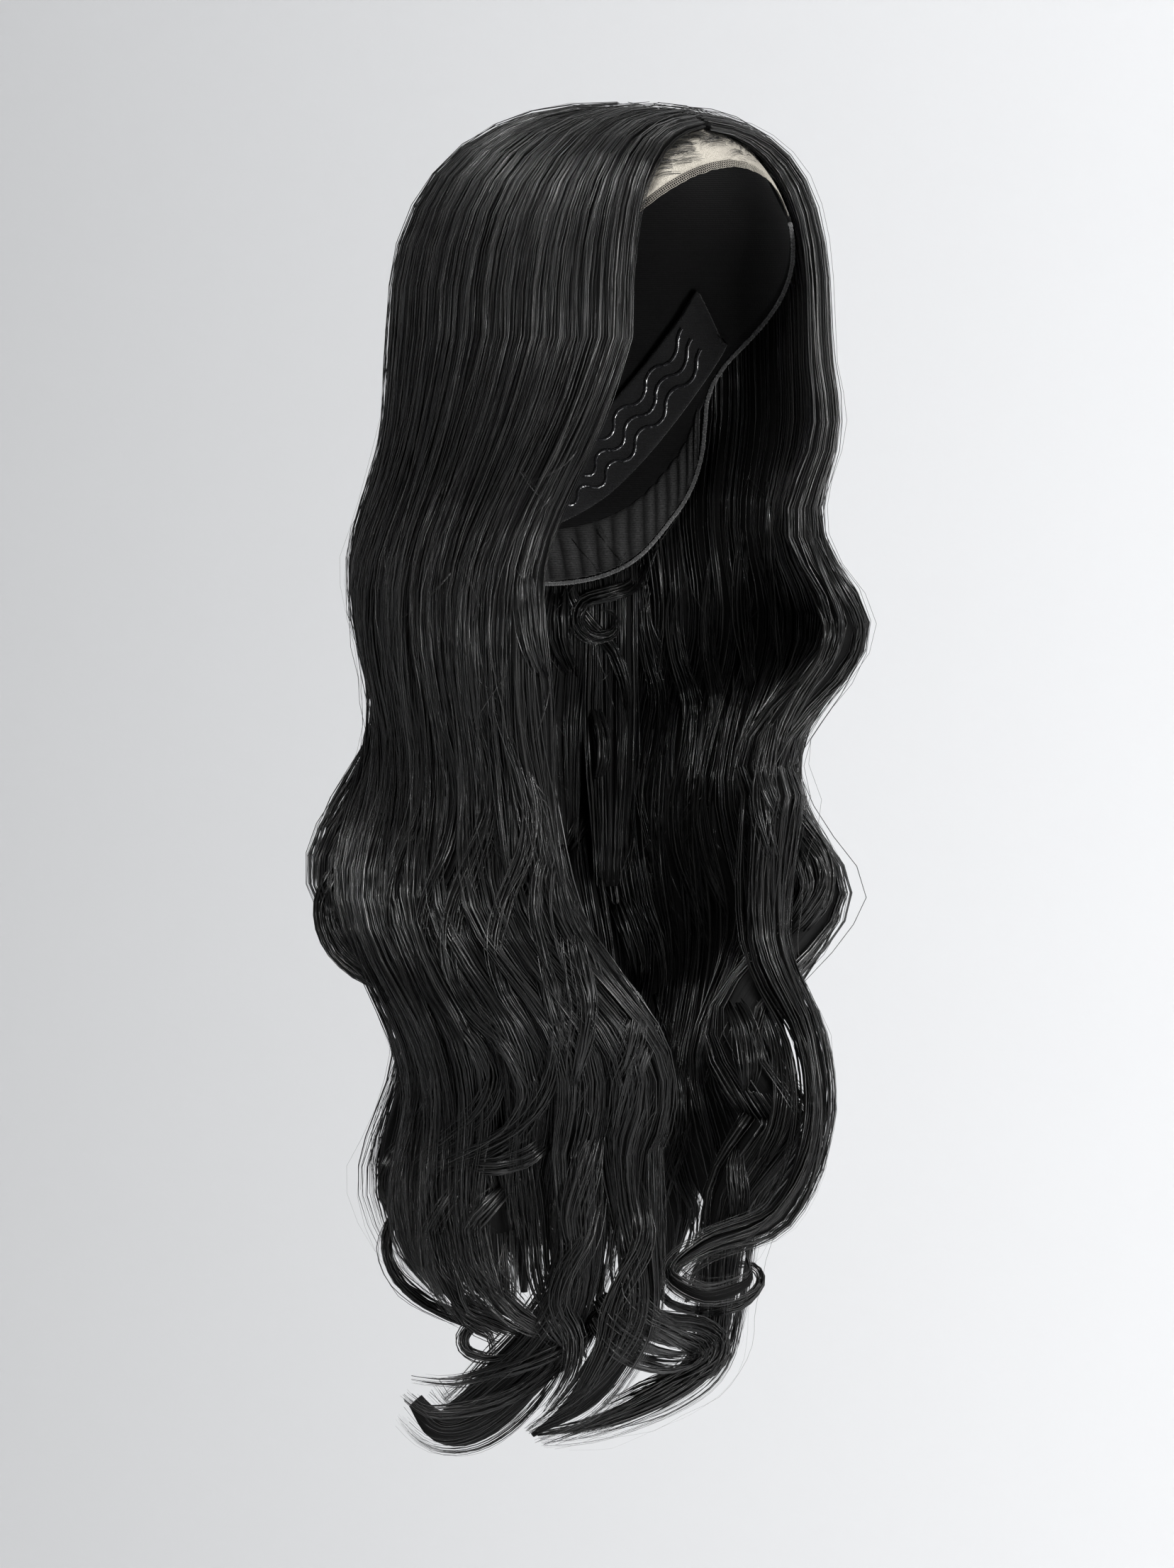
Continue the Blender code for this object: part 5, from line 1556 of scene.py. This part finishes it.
# %% Cloth finish
def cloth_finish(name, dark, light, pitch, roughness, relief, shine=0.25, shade=None):
    """Fine knit: two crossed rows of stitches and slow changes of tone. Where shade names an attribute,
    painted shade darkens the colour by it, for the hollows of pleats.
    """
    made, tree, shader = new_finish(name, light, roughness)
    place = add_node(tree, "ShaderNodeTexCoord").outputs["Object"]
    rib = add_node(tree, "ShaderNodeTexWave", {"Vector": place, "Scale": 0.3142 / pitch, "Distortion": 0.6,
                                               "Detail": 1.0, "Detail Scale": 3.0},
                   wave_type="BANDS", bands_direction="Z")
    cells = add_node(tree, "ShaderNodeTexVoronoi", {"Vector": place, "Scale": 0.8 / pitch})
    cloud = add_node(tree, "ShaderNodeTexNoise", {"Vector": place, "Scale": 60.0, "Detail": 5.0})
    knit = maths(tree, "ADD", maths(tree, "MULTIPLY", rib.outputs["Fac"], 0.5),
                 maths(tree, "MULTIPLY", cells.outputs["Distance"], 0.5))
    blend = maths(tree, "ADD", maths(tree, "MULTIPLY", knit, 0.6),
                  maths(tree, "MULTIPLY", cloud.outputs["Fac"], 0.4))
    colour = ramp(tree, blend, [(0.2, dark), (0.7, light)])
    # Painted shade: the colour is darkened by the shade attribute, which marks the hollows between pleats.
    if shade:
        depth = add_node(tree, "ShaderNodeAttribute", attribute_name=shade).outputs["Fac"]
        painted_shade_factor = ramp(tree, depth, [(0.0, 1.0), (0.6, 0.5), (0.95, 0.06)])
        colour = vector_maths(tree, "SCALE", colour, painted_shade_factor)
    tree.links.new(colour, shader.inputs["Base Color"])
    tree.links.new(bump(tree, knit, relief, 0.0003), shader.inputs["Normal"])
    shader.inputs["Sheen Weight"].default_value = 0.08
    shader.inputs["Specular IOR Level"].default_value = shine
    shader.inputs["Sheen Roughness"].default_value = 0.5
    return made


cap_knit = cloth_finish("cap_knit", (0.0008, 0.0008, 0.0008), (0.0042, 0.0042, 0.0043),
                        0.0009, 0.95, 0.5, 0.03)
band_weave = cloth_finish("band_weave", (0.0010, 0.0010, 0.0011), (0.012, 0.012, 0.0125),
                          0.0006, 0.92, 1.0, 0.06)
# The nape band's pleats get painted shade in their hollows from the fold attribute.
nape_knit = cloth_finish("nape_knit", (0.0015, 0.0015, 0.0015), (0.036, 0.036, 0.036),
                         0.0008, 0.90, 1.0, 0.12, "fold")


def nape_start():
    return next(turn for turn, fall in RIM if fall > 110.0)


def cap_edge(turn):
    """Lower edge of the stretch cap: the net's seam, the rim, or the top of the nape band."""
    around = abs(turn)
    if around <= NET_LAST_TURN:
        return seam_fall(turn)
    edge = rim_fall(turn)
    step = smooth_step((around - nape_start() + 0.6) / 0.6)
    return edge - fall_step(turn, edge, NAPE_BAND_WIDTH - 0.002) * step


CAP_COLUMNS = 144
CAP_RINGS = 44


def make_cap():
    turns = [360.0 * i / CAP_COLUMNS - 180.0 for i in range(CAP_COLUMNS)]
    verts = [head_point(0.0, 0.0, 0.0), head_point(0.0, 0.0, CAP_WALL)]
    for lift in (0.0, CAP_WALL):
        for turn in turns:
            edge = cap_edge(turn)
            verts += [head_point(turn, edge * k / CAP_RINGS, lift) for k in range(1, CAP_RINGS + 1)]
    half = CAP_COLUMNS * CAP_RINGS
    faces = []
    for i in range(CAP_COLUMNS):
        a, b = 2 + i * CAP_RINGS, 2 + (i + 1) % CAP_COLUMNS * CAP_RINGS
        faces += [(0, a, b), (1, half + b, half + a)]
        for k in range(CAP_RINGS - 1):
            faces.append((a + k, b + k, b + k + 1, a + k + 1))
            faces.append((half + a + k, half + a + k + 1, half + b + k + 1, half + b + k))
        low = CAP_RINGS - 1
        faces.append((a + low, b + low, half + b + low, half + a + low))
    return mesh_object("cap_knit_dome", verts, faces, cap_knit)


cap_dome = make_cap()

# %% [markdown]
# ## The gathered nape band
# Elastic draws the nape band into pleats that run across it. The wall is a sheet whose height
# follows a rounded wave along the band, a little different for each pleat. Each point also keeps
# its place in the wave as the fold attribute, and the finish paints shade into the hollows from it.

# %% Nape band
def rim_places(first, last, count, steps=720):
    """Turns that part the cap's edge into equal lengths."""
    turns = [first + (last - first) * i / steps for i in range(steps + 1)]
    points = [head_point(turn, rim_fall(turn if turn <= 180.0 else turn - 360.0)) for turn in turns]
    travelled = [0.0]
    for a, b in zip(points, points[1:]):
        travelled.append(travelled[-1] + (b - a).length)
    found = []
    for i in range(count):
        goal = travelled[-1] * i / (count - 1)
        k = next(j for j in range(1, steps + 1) if travelled[j] >= goal - 1e-9)
        share = (goal - travelled[k - 1]) / (travelled[k] - travelled[k - 1])
        found.append(turns[k - 1] + (turns[k] - turns[k - 1]) * share)
    return found, travelled[-1]


BAND_ROWS = 10
BAND_STEPS_A_PLEAT = 10


def make_nape_band():
    start = nape_start() + 0.7
    length = rim_places(start, 360.0 - start, 2)[1]
    pleats = round(length / PLEAT_PITCH)
    columns = pleats * BAND_STEPS_A_PLEAT + 1
    turns = rim_places(start, 360.0 - start, columns)[0]
    verts, painted_pleat_shade = [], []
    for side in (0, 1):
        for i, turn in enumerate(turns):
            around = turn if turn <= 180.0 else turn - 360.0
            edge = rim_fall(around)
            top = edge - fall_step(around, edge, NAPE_BAND_WIDTH - 0.0008)
            phase = i / BAND_STEPS_A_PLEAT + 0.12 * noise.noise(Vector((i * 0.06, 0.0, 0.0)))
            for k in range(BAND_ROWS + 1):
                share = k / BAND_ROWS
                lean = 0.12 * noise.noise(Vector((i * 0.02, share * 1.5, 4.0)))
                fold = 0.5 - 0.5 * math.cos(2.0 * math.pi * (phase + lean))
                fold = fold ** 0.6 * PLEAT_HEIGHT * (0.35 + 0.65 * math.sin(math.pi * share) ** 0.5)
                lift = NAPE_BAND_WALL * side - fold
                verts.append(head_point(around, top + (edge - top) * share, lift))
                # Value for painted shade in the pleats: highest where the wave leaves the wall in place,
                # lowest at its crests.
                painted_pleat_shade.append(1.0 - fold / PLEAT_HEIGHT)
    made = mesh_object("nape_pleats", verts, wall_faces(columns, BAND_ROWS + 1), nape_knit)
    store(made.data, "fold", "FLOAT", "value", painted_pleat_shade)
    return made


nape_pleats = make_nape_band()

# %% [markdown]
# ## The overlocked edge
# The cap's cut edge is finished with a soft overlock stitch. A round core carries short loops of
# thread, packed side by side.

# %% Edge stitches
BINDING_DIAMETER = 0.0020
BINDING_GAP = 0.0010
STITCH_PITCH = 0.0011


def thread_finish():
    made, tree, shader = new_finish("edge_thread", (0.08, 0.08, 0.08), 0.9)
    place = add_node(tree, "ShaderNodeTexCoord").outputs["Object"]
    fibre = add_node(tree, "ShaderNodeTexNoise", {"Vector": place, "Scale": 2600.0, "Detail": 3.0})
    colour = ramp(tree, fibre.outputs["Fac"], [(0.3, (0.006, 0.006, 0.006)), (0.7, (0.042, 0.042, 0.042))])
    tree.links.new(colour, shader.inputs["Base Color"])
    tree.links.new(bump(tree, fibre.outputs["Fac"], 0.7, 0.0002), shader.inputs["Normal"])
    shader.inputs["Sheen Weight"].default_value = 0.5
    return made


edge_thread = thread_finish()


def edge_place(turn, below):
    """Place just past the cap's edge, square to it within the cap's surface."""
    here = head_point(turn, rim_fall(turn), CAP_WALL / 3)
    after = head_point(turn + 0.4, rim_fall(turn + 0.4))
    along = (after - head_point(turn - 0.4, rim_fall(turn - 0.4))).normalized()
    edge = rim_fall(turn)
    down = head_point(turn, edge + 0.4) - head_point(turn, edge - 0.4)
    return here + (down - along * down.dot(along)).normalized() * below


def edge_guide():
    """Mesh line along the edge from temple to temple, round the ears and the nape."""
    first = NET_LAST_TURN + 1.5
    length = rim_places(first, 360.0 - first, 2)[1]
    turns = rim_places(first, 360.0 - first, round(length / STITCH_PITCH))[0]
    places = []
    for turn in turns:
        around = turn if turn <= 180.0 else turn - 360.0
        places.append(edge_place(around, BINDING_DIAMETER / 2 + BINDING_GAP * 0.6))
    mesh = bpy.data.meshes.new("edge_line")
    mesh.from_pydata(places, [(i, i + 1) for i in range(len(places) - 1)], [])
    return mesh


def stitch_tree():
    """Core tube with a slanted ring of thread at every point of the line."""
    tree, given = geometry_tree("edge_stitches", [
        ("Diameter", "Float"), ("Thread", "Float"), ("Seed", "Int"), ("Material", "Material"),
    ])
    put = given.outputs
    line = add_node(tree, "GeometryNodeMeshToCurve", {0: put["Geometry"]})
    core = add_node(tree, "GeometryNodeCurvePrimitiveCircle", mode="RADIUS")
    core.inputs["Resolution"].default_value = 8
    tree.links.new(maths(tree, "MULTIPLY", put["Diameter"], 0.40), core.inputs["Radius"])
    tube = add_node(tree, "GeometryNodeCurveToMesh", {0: line.outputs[0], 1: core.outputs[0]})
    tube.inputs["Fill Caps"].default_value = True
    loop = add_node(tree, "GeometryNodeCurvePrimitiveCircle", mode="RADIUS")
    loop.inputs["Resolution"].default_value = 9
    tree.links.new(maths(tree, "MULTIPLY", put["Diameter"], 0.46), loop.inputs["Radius"])
    thin = add_node(tree, "GeometryNodeCurvePrimitiveCircle", mode="RADIUS")
    thin.inputs["Resolution"].default_value = 4
    tree.links.new(put["Thread"], thin.inputs["Radius"])
    stitch = add_node(tree, "GeometryNodeCurveToMesh", {0: loop.outputs[0], 1: thin.outputs[0]})
    tangent = add_node(tree, "GeometryNodeInputTangent").outputs[0]
    turned = add_node(tree, "FunctionNodeAlignRotationToVector", {"Vector": tangent}, axis="Z")
    lean = add_node(tree, "FunctionNodeRandomValue", data_type="FLOAT_VECTOR")
    lean.inputs[0].default_value = (0.25, -0.25, -3.0)
    lean.inputs[1].default_value = (0.65, 0.25, 3.0)
    tree.links.new(put["Seed"], lean.inputs["Seed"])
    euler = add_node(tree, "FunctionNodeEulerToRotation", {0: lean.outputs[0]})
    spin = add_node(tree, "FunctionNodeRotateRotation", rotation_space="LOCAL")
    tree.links.new(turned.outputs[0], spin.inputs["Rotation"])
    tree.links.new(euler.outputs[0], spin.inputs["Rotate By"])
    stitches = add_node(tree, "GeometryNodeInstanceOnPoints", {
        "Points": line.outputs[0], "Instance": stitch.outputs[0], "Rotation": spin.outputs[0],
    })
    joined = add_node(tree, "GeometryNodeJoinGeometry")
    tree.links.new(stitches.outputs[0], joined.inputs[0])
    tree.links.new(tube.outputs[0], joined.inputs[0])
    smooth = add_node(tree, "GeometryNodeSetShadeSmooth", {0: joined.outputs[0]})
    end_tree(tree, smooth.outputs[0], put["Material"])
    return tree


edge_stitches = bake_tree("edge_overlock", edge_guide(), stitch_tree(), {
    "Diameter": BINDING_DIAMETER, "Thread": 0.00019, "Seed": 4, "Material": edge_thread,
})

# %% [markdown]
# ## The grip band
# A wide woven elastic lies inside the back of the cap. Three beads of silicone run along it in
# waves, so that the wig doesn't slip.

# %% Grip band
def grip_frame(turn, lift):
    """Place on the band's middle line and the direction across it."""
    around = abs(turn)
    side = 1.0 if turn >= 0.0 else -1.0
    fall = between(GRIP_LINE, around, 1)
    after = head_point(side * (around + 0.5), between(GRIP_LINE, around + 0.5, 1))
    before = head_point(side * (around - 0.5), between(GRIP_LINE, around - 0.5, 1))
    along = (after - before).normalized()
    down = head_point(turn, fall + 0.5) - head_point(turn, fall - 0.5)
    return head_point(turn, fall, lift), (down - along * down.dot(along)).normalized()


def grip_point(turn, offset, lift):
    """Place on the band, an offset across it and a lift off the head."""
    fall = between(GRIP_LINE, abs(turn), 1)
    start, across = grip_frame(turn, lift)
    goal = start + across * offset
    low, high = fall - 25.0, fall + 25.0
    for _ in range(18):
        middle = (low + high) / 2
        side = head_point(90.0, middle, lift).x
        depth = head_point(180.0, middle, lift).y
        best = head_point(math.degrees(math.atan2(goal.x / side, -goal.y / depth)), middle, lift)
        if best.z > goal.z:
            low = middle
        else:
            high = middle
    return best


GRIP_FIRST = GRIP_LINE[0][0]
GRIP_STEPS = 160
GRIP_ROWS = 12


def grip_turn(share):
    turn = GRIP_FIRST + (360.0 - 2.0 * GRIP_FIRST) * share
    return turn if turn <= 180.0 else turn - 360.0


def make_grip():
    rows = GRIP_ROWS + 1
    verts = []
    for depth in (GRIP_WALL, 0.0):
        for i in range(GRIP_STEPS + 1):
            turn = grip_turn(i / GRIP_STEPS)
            for k in range(rows):
                share = 2.0 * k / GRIP_ROWS - 1.0
                hem = 0.0004 * smooth_step((abs(share) - 0.86) / 0.1) if depth else 0.0
                lift = -GRIP_CLEARANCE - depth + hem * 0.8
                verts.append(grip_point(turn, GRIP_WIDTH / 2 * share, lift))
    return mesh_object("grip_elastic", verts, wall_faces(GRIP_STEPS + 1, rows), band_weave)


grip_elastic = make_grip()


# %% Silicone waves
def silicone_finish():
    made, tree, shader = new_finish("silicone_bead", (0.010, 0.010, 0.011), 0.16)
    place = add_node(tree, "ShaderNodeTexCoord").outputs["Object"]
    uneven = add_node(tree, "ShaderNodeTexNoise", {"Vector": place, "Scale": 420.0, "Detail": 2.0})
    rough = add_node(tree, "ShaderNodeMapRange", {0: uneven.outputs["Fac"], 3: 0.06, 4: 0.30})
    tree.links.new(rough.outputs[0], shader.inputs["Roughness"])
    tree.links.new(bump(tree, uneven.outputs["Fac"], 0.9, 0.0012), shader.inputs["Normal"])
    shader.inputs["Coat Weight"].default_value = 0.8
    shader.inputs["Coat Roughness"].default_value = 0.06
    return made


silicone_bead = silicone_finish()
BEAD_STEPS = 320


def bead_line(index):
    """Points of a silicone bead's middle, a rounded wave along the grip band."""
    points = [grip_point(grip_turn(i / 120), 0.0, 0.0) for i in range(121)]
    length = sum((b - a).length for a, b in zip(points, points[1:]))
    cycles = round(length / WAVE_LENGTH)
    offset = WAVE_SPACING * (index - (WAVE_COUNT - 1) / 2)
    rise = GRIP_CLEARANCE + GRIP_WALL + SILICONE_CLEARANCE * 0.3
    share_from, share_to = 1.0 / (2 * cycles), 1.0 - 1.0 / (2 * cycles)
    line = []
    for i in range(BEAD_STEPS + 1):
        share = share_from + (share_to - share_from) * i / BEAD_STEPS
        wave = math.cos(2.0 * math.pi * cycles * share)
        wave = math.copysign(abs(wave) ** 0.75, wave)
        line.append(grip_point(grip_turn(share), offset + WAVE_SWING * wave, -rise))
    return line


def bead_tree():
    tree, given = geometry_tree("silicone_wave", [
        ("Width", "Float"), ("Height", "Float"), ("Material", "Material"),
    ])
    put = given.outputs
    line = add_node(tree, "GeometryNodeMeshToCurve", {0: put["Geometry"]})
    normals = add_node(tree, "GeometryNodeSetCurveNormal", mode="FREE")
    tree.links.new(line.outputs[0], normals.inputs["Curve"])
    place = add_node(tree, "GeometryNodeInputPosition").outputs[0]
    flat = vector_maths(tree, "MULTIPLY", place, (1.0, 1.0, 0.25))
    tree.links.new(vector_maths(tree, "NORMALIZE", flat), normals.inputs["Normal"])
    ring = add_node(tree, "GeometryNodeCurvePrimitiveCircle", mode="RADIUS")
    ring.inputs["Resolution"].default_value = 10
    ring.inputs["Radius"].default_value = 0.5
    size = add_node(tree, "ShaderNodeCombineXYZ", {0: put["Height"], 1: put["Width"], 2: 1.0})
    shaped = add_node(tree, "GeometryNodeTransform", {0: ring.outputs[0], "Scale": size.outputs[0]})
    tube = add_node(tree, "GeometryNodeCurveToMesh", {0: normals.outputs[0], 1: shaped.outputs[0]})
    tube.inputs["Fill Caps"].default_value = True
    smooth = add_node(tree, "GeometryNodeSetShadeSmooth", {0: tube.outputs[0]})
    end_tree(tree, smooth.outputs[0], put["Material"])
    return tree


bead_nodes = bead_tree()
silicone = []
for index in range(WAVE_COUNT):
    places = bead_line(index)
    mesh = bpy.data.meshes.new("bead_line")
    mesh.from_pydata(places, [(i, i + 1) for i in range(len(places) - 1)], [])
    silicone.append(bake_tree(f"silicone_bead_{index + 1}", mesh, bead_nodes, {
        "Width": WAVE_WIDTH, "Height": WAVE_HEIGHT * 2.0, "Material": silicone_bead,
    }))

# %% [markdown]
# ## The studio
# The wig hangs in the air in its worn form, over a plain pale floor that curves up into a round
# wall. The backdrop's colour is painted darker towards one side: painted shade, as on a paper
# backdrop lit from the other side. Soft lights above, at the side and before the opening make the
# highlights on the hair, and one more lights the wall.

# %% Floor and wall
FLOOR_LEVEL = -1.32
FLOOR_RADIUS = 2.4
WALL_RADIUS = 4.2
WALL_HEIGHT = 5.0
PAINTED_SHADE_LEFT = (0.420, 0.424, 0.430)
PALE_RIGHT = (0.775, 0.780, 0.790)


def backdrop_finish():
    made, tree, shader = new_finish("backdrop_paper", PALE_RIGHT, 0.9)
    place = add_node(tree, "ShaderNodeTexCoord").outputs["Object"]
    sideways = vector_maths(tree, "DOT_PRODUCT", place, tuple(right), out=1)
    share = add_node(tree, "ShaderNodeMapRange", {0: sideways, 1: -0.9, 2: 0.6}).outputs[0]
    grain = add_node(tree, "ShaderNodeTexNoise", {"Vector": place, "Scale": 220.0, "Detail": 2.0})
    # Painted shade: the colour darkens from the right-hand tone to the darker left-hand one across the view.
    tree.links.new(ramp(tree, share, [(0.0, PAINTED_SHADE_LEFT), (1.0, PALE_RIGHT)]), shader.inputs["Base Color"])
    tree.links.new(bump(tree, grain.outputs["Fac"], 0.05, 0.001), shader.inputs["Normal"])
    return made


def make_backdrop():
    """Floor, sweep and wall as one surface of revolution, seen from inside."""
    profile = [(0.0, FLOOR_LEVEL), (FLOOR_RADIUS * 0.5, FLOOR_LEVEL), (FLOOR_RADIUS, FLOOR_LEVEL)]
    bend = WALL_RADIUS - FLOOR_RADIUS
    for k in range(1, 13):
        angle = math.radians(90.0 * k / 12)
        profile.append((FLOOR_RADIUS + bend * math.sin(angle), FLOOR_LEVEL + bend * (1.0 - math.cos(angle))))
    profile.append((WALL_RADIUS, FLOOR_LEVEL + WALL_HEIGHT))
    count = 96
    verts = [(0.0, 0.0, FLOOR_LEVEL)]
    for radius, height in profile[1:]:
        for i in range(count):
            angle = 2.0 * math.pi * i / count
            verts.append((radius * math.cos(angle), radius * math.sin(angle), height))
    faces = [(0, 1 + i, 1 + (i + 1) % count) for i in range(count)]
    for k in range(len(profile) - 2):
        for i in range(count):
            a, b = 1 + k * count + i, 1 + k * count + (i + 1) % count
            faces.append((a, a + count, b + count, b))
    mesh = bpy.data.meshes.new("backdrop")
    mesh.from_pydata(verts, [], faces)
    mesh.materials.append(backdrop_finish())
    mesh.shade_smooth()
    made = bpy.data.objects.new("backdrop", mesh)
    bpy.context.scene.collection.objects.link(made)
    return made


make_backdrop()


# %% Lights
def soft_light(name, place, target, size, power):
    data = bpy.data.lights.new(name, "AREA")
    data.shape = "RECTANGLE"
    data.size, data.size_y = size
    data.energy = power
    made = bpy.data.objects.new(name, data)
    made.location = place
    made.rotation_euler = (Vector(target) - Vector(place)).to_track_quat("-Z", "Y").to_euler()
    bpy.context.scene.collection.objects.link(made)


WIG_MIDDLE = Vector((0.0, 0.0, -0.28))
WALL_MIDDLE = WIG_MIDDLE - back * 4.2
HANG_HIGH = up * 2.3
TO_OPENING = right * 0.47 + back * 0.88
TO_SIDE = right * 0.85 + back * 0.53
soft_light("top", WIG_MIDDLE + back * 1.05 - right * 0.3 + up * 1.95, WIG_MIDDLE, (0.8, 0.3), 50.0)
soft_light("key_band", WIG_MIDDLE + back * 1.6 - right * 0.2 + up * 1.6, WIG_MIDDLE, (0.8, 0.18), 78.0)
soft_light("key_side", WIG_MIDDLE + TO_SIDE * 2.0 + up * 0.2, WIG_MIDDLE, (0.4, 0.7), 42.0)
soft_light("key_opening", WIG_MIDDLE + TO_OPENING * 2.0 - up * 0.25, WIG_MIDDLE - up * 0.1, (0.35, 0.4), 50.0)
soft_light("top_back", WIG_MIDDLE - back * 1.4 + up * 2.2, WIG_MIDDLE, (1.6, 0.8), 24.0)
soft_light("wall", WIG_MIDDLE - back * 0.6 + right * 0.9 + HANG_HIGH, WALL_MIDDLE + right * 0.5,
           (2.4, 1.2), 34.0)

AIR_LIGHT = 0.12
world = bpy.data.worlds.new("studio_air")
world.use_nodes = True
world.node_tree.nodes["Background"].inputs["Color"].default_value = (0.97, 0.98, 1.0, 1.0)
world.node_tree.nodes["Background"].inputs["Strength"].default_value = AIR_LIGHT
bpy.context.scene.world = world
bpy.context.scene.view_settings.view_transform = "Standard"

# %% [markdown]
# ## Cloth and its cut
# The net, the cap and the two bands are cloth, and the size of each one's flat cut is worked out.
# The arcs of the net and the cap are measured along the head form. The bands curve, and the nape
# band is pleated too, so the length of each is its area over its width.

# %% Flat sizes
def fall_length(turn, first, last, steps=90):
    points = [head_point(turn, first + (last - first) * i / steps) for i in range(steps + 1)]
    return sum((b - a).length for a, b in zip(points, points[1:]))


def cloth_area(piece):
    """Area of a thin closed wall's cloth, half of its whole surface."""
    return sum(face.area for face in piece.data.polygons) / 2


net_cut = (rim_places(-NET_LAST_TURN, NET_LAST_TURN, 2)[1], fall_length(0.0, seam_fall(0.0), rim_fall(0.0)))
cap_cut = (2.0 * fall_length(90.0, 0.0, rim_fall(90.0)),
           fall_length(0.0, 0.0, rim_fall(0.0)) + fall_length(180.0, 0.0, cap_edge(180.0)))
nape_cut = (NAPE_BAND_WIDTH, cloth_area(nape_pleats) / NAPE_BAND_WIDTH)
grip_cut = (GRIP_WIDTH, cloth_area(grip_elastic) / GRIP_WIDTH)
for name, cut, piece in (("net", net_cut, lace_net), ("cap", cap_cut, cap_dome),
                         ("nape band", nape_cut, nape_pleats), ("grip band", grip_cut, grip_elastic)):
    print(name, "cut:", [round(size, 3) for size in cut], "m")
    print(name, "area:", round(cloth_area(piece), 4), "square metres")
print("nape rim:", round(rim_places(nape_start() + 0.7, 360.0 - nape_start() - 0.7, 2)[1], 3), "m")

# %% [markdown]
# ## Attach the pieces
# Every piece rides on the wig's one body. The strands and shells stand for the solids that they
# dress.

# %% Ride, replace and measure
for node, pieces in hair_pieces.items():
    for piece in pieces:
        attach(piece, "root")
        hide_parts(node)
for piece in clump_pieces:
    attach(piece, "root")
for piece, node, slot in (
    (lace_net, "lace_front", "lace"),
    (lace_strip, "lace_front", "lace"),
    (lace_roots, None, "hair"),
    (cap_dome, "cap", "stretch_cap"),
    (nape_pleats, "nape_band", "elastic_nape"),
    (edge_stitches, "edge_binding", "edge_thread"),
    (grip_elastic, "grip_band", "elastic_grip"),
    (silicone[0], "silicone_wave_1", "silicone"),
    (silicone[1], "silicone_wave_2", "silicone"),
    (silicone[2], "silicone_wave_3", "silicone"),
):
    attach(piece, "root")
    if node:
        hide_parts(node)

bpy.context.view_layer.update()
triangles = sum(
    sum(len(face.vertices) - 2 for face in made.data.polygons)
    for made in bpy.data.objects
    if made.type == "MESH" and made.name not in frame["nodes"]
)
print("triangles:", triangles)
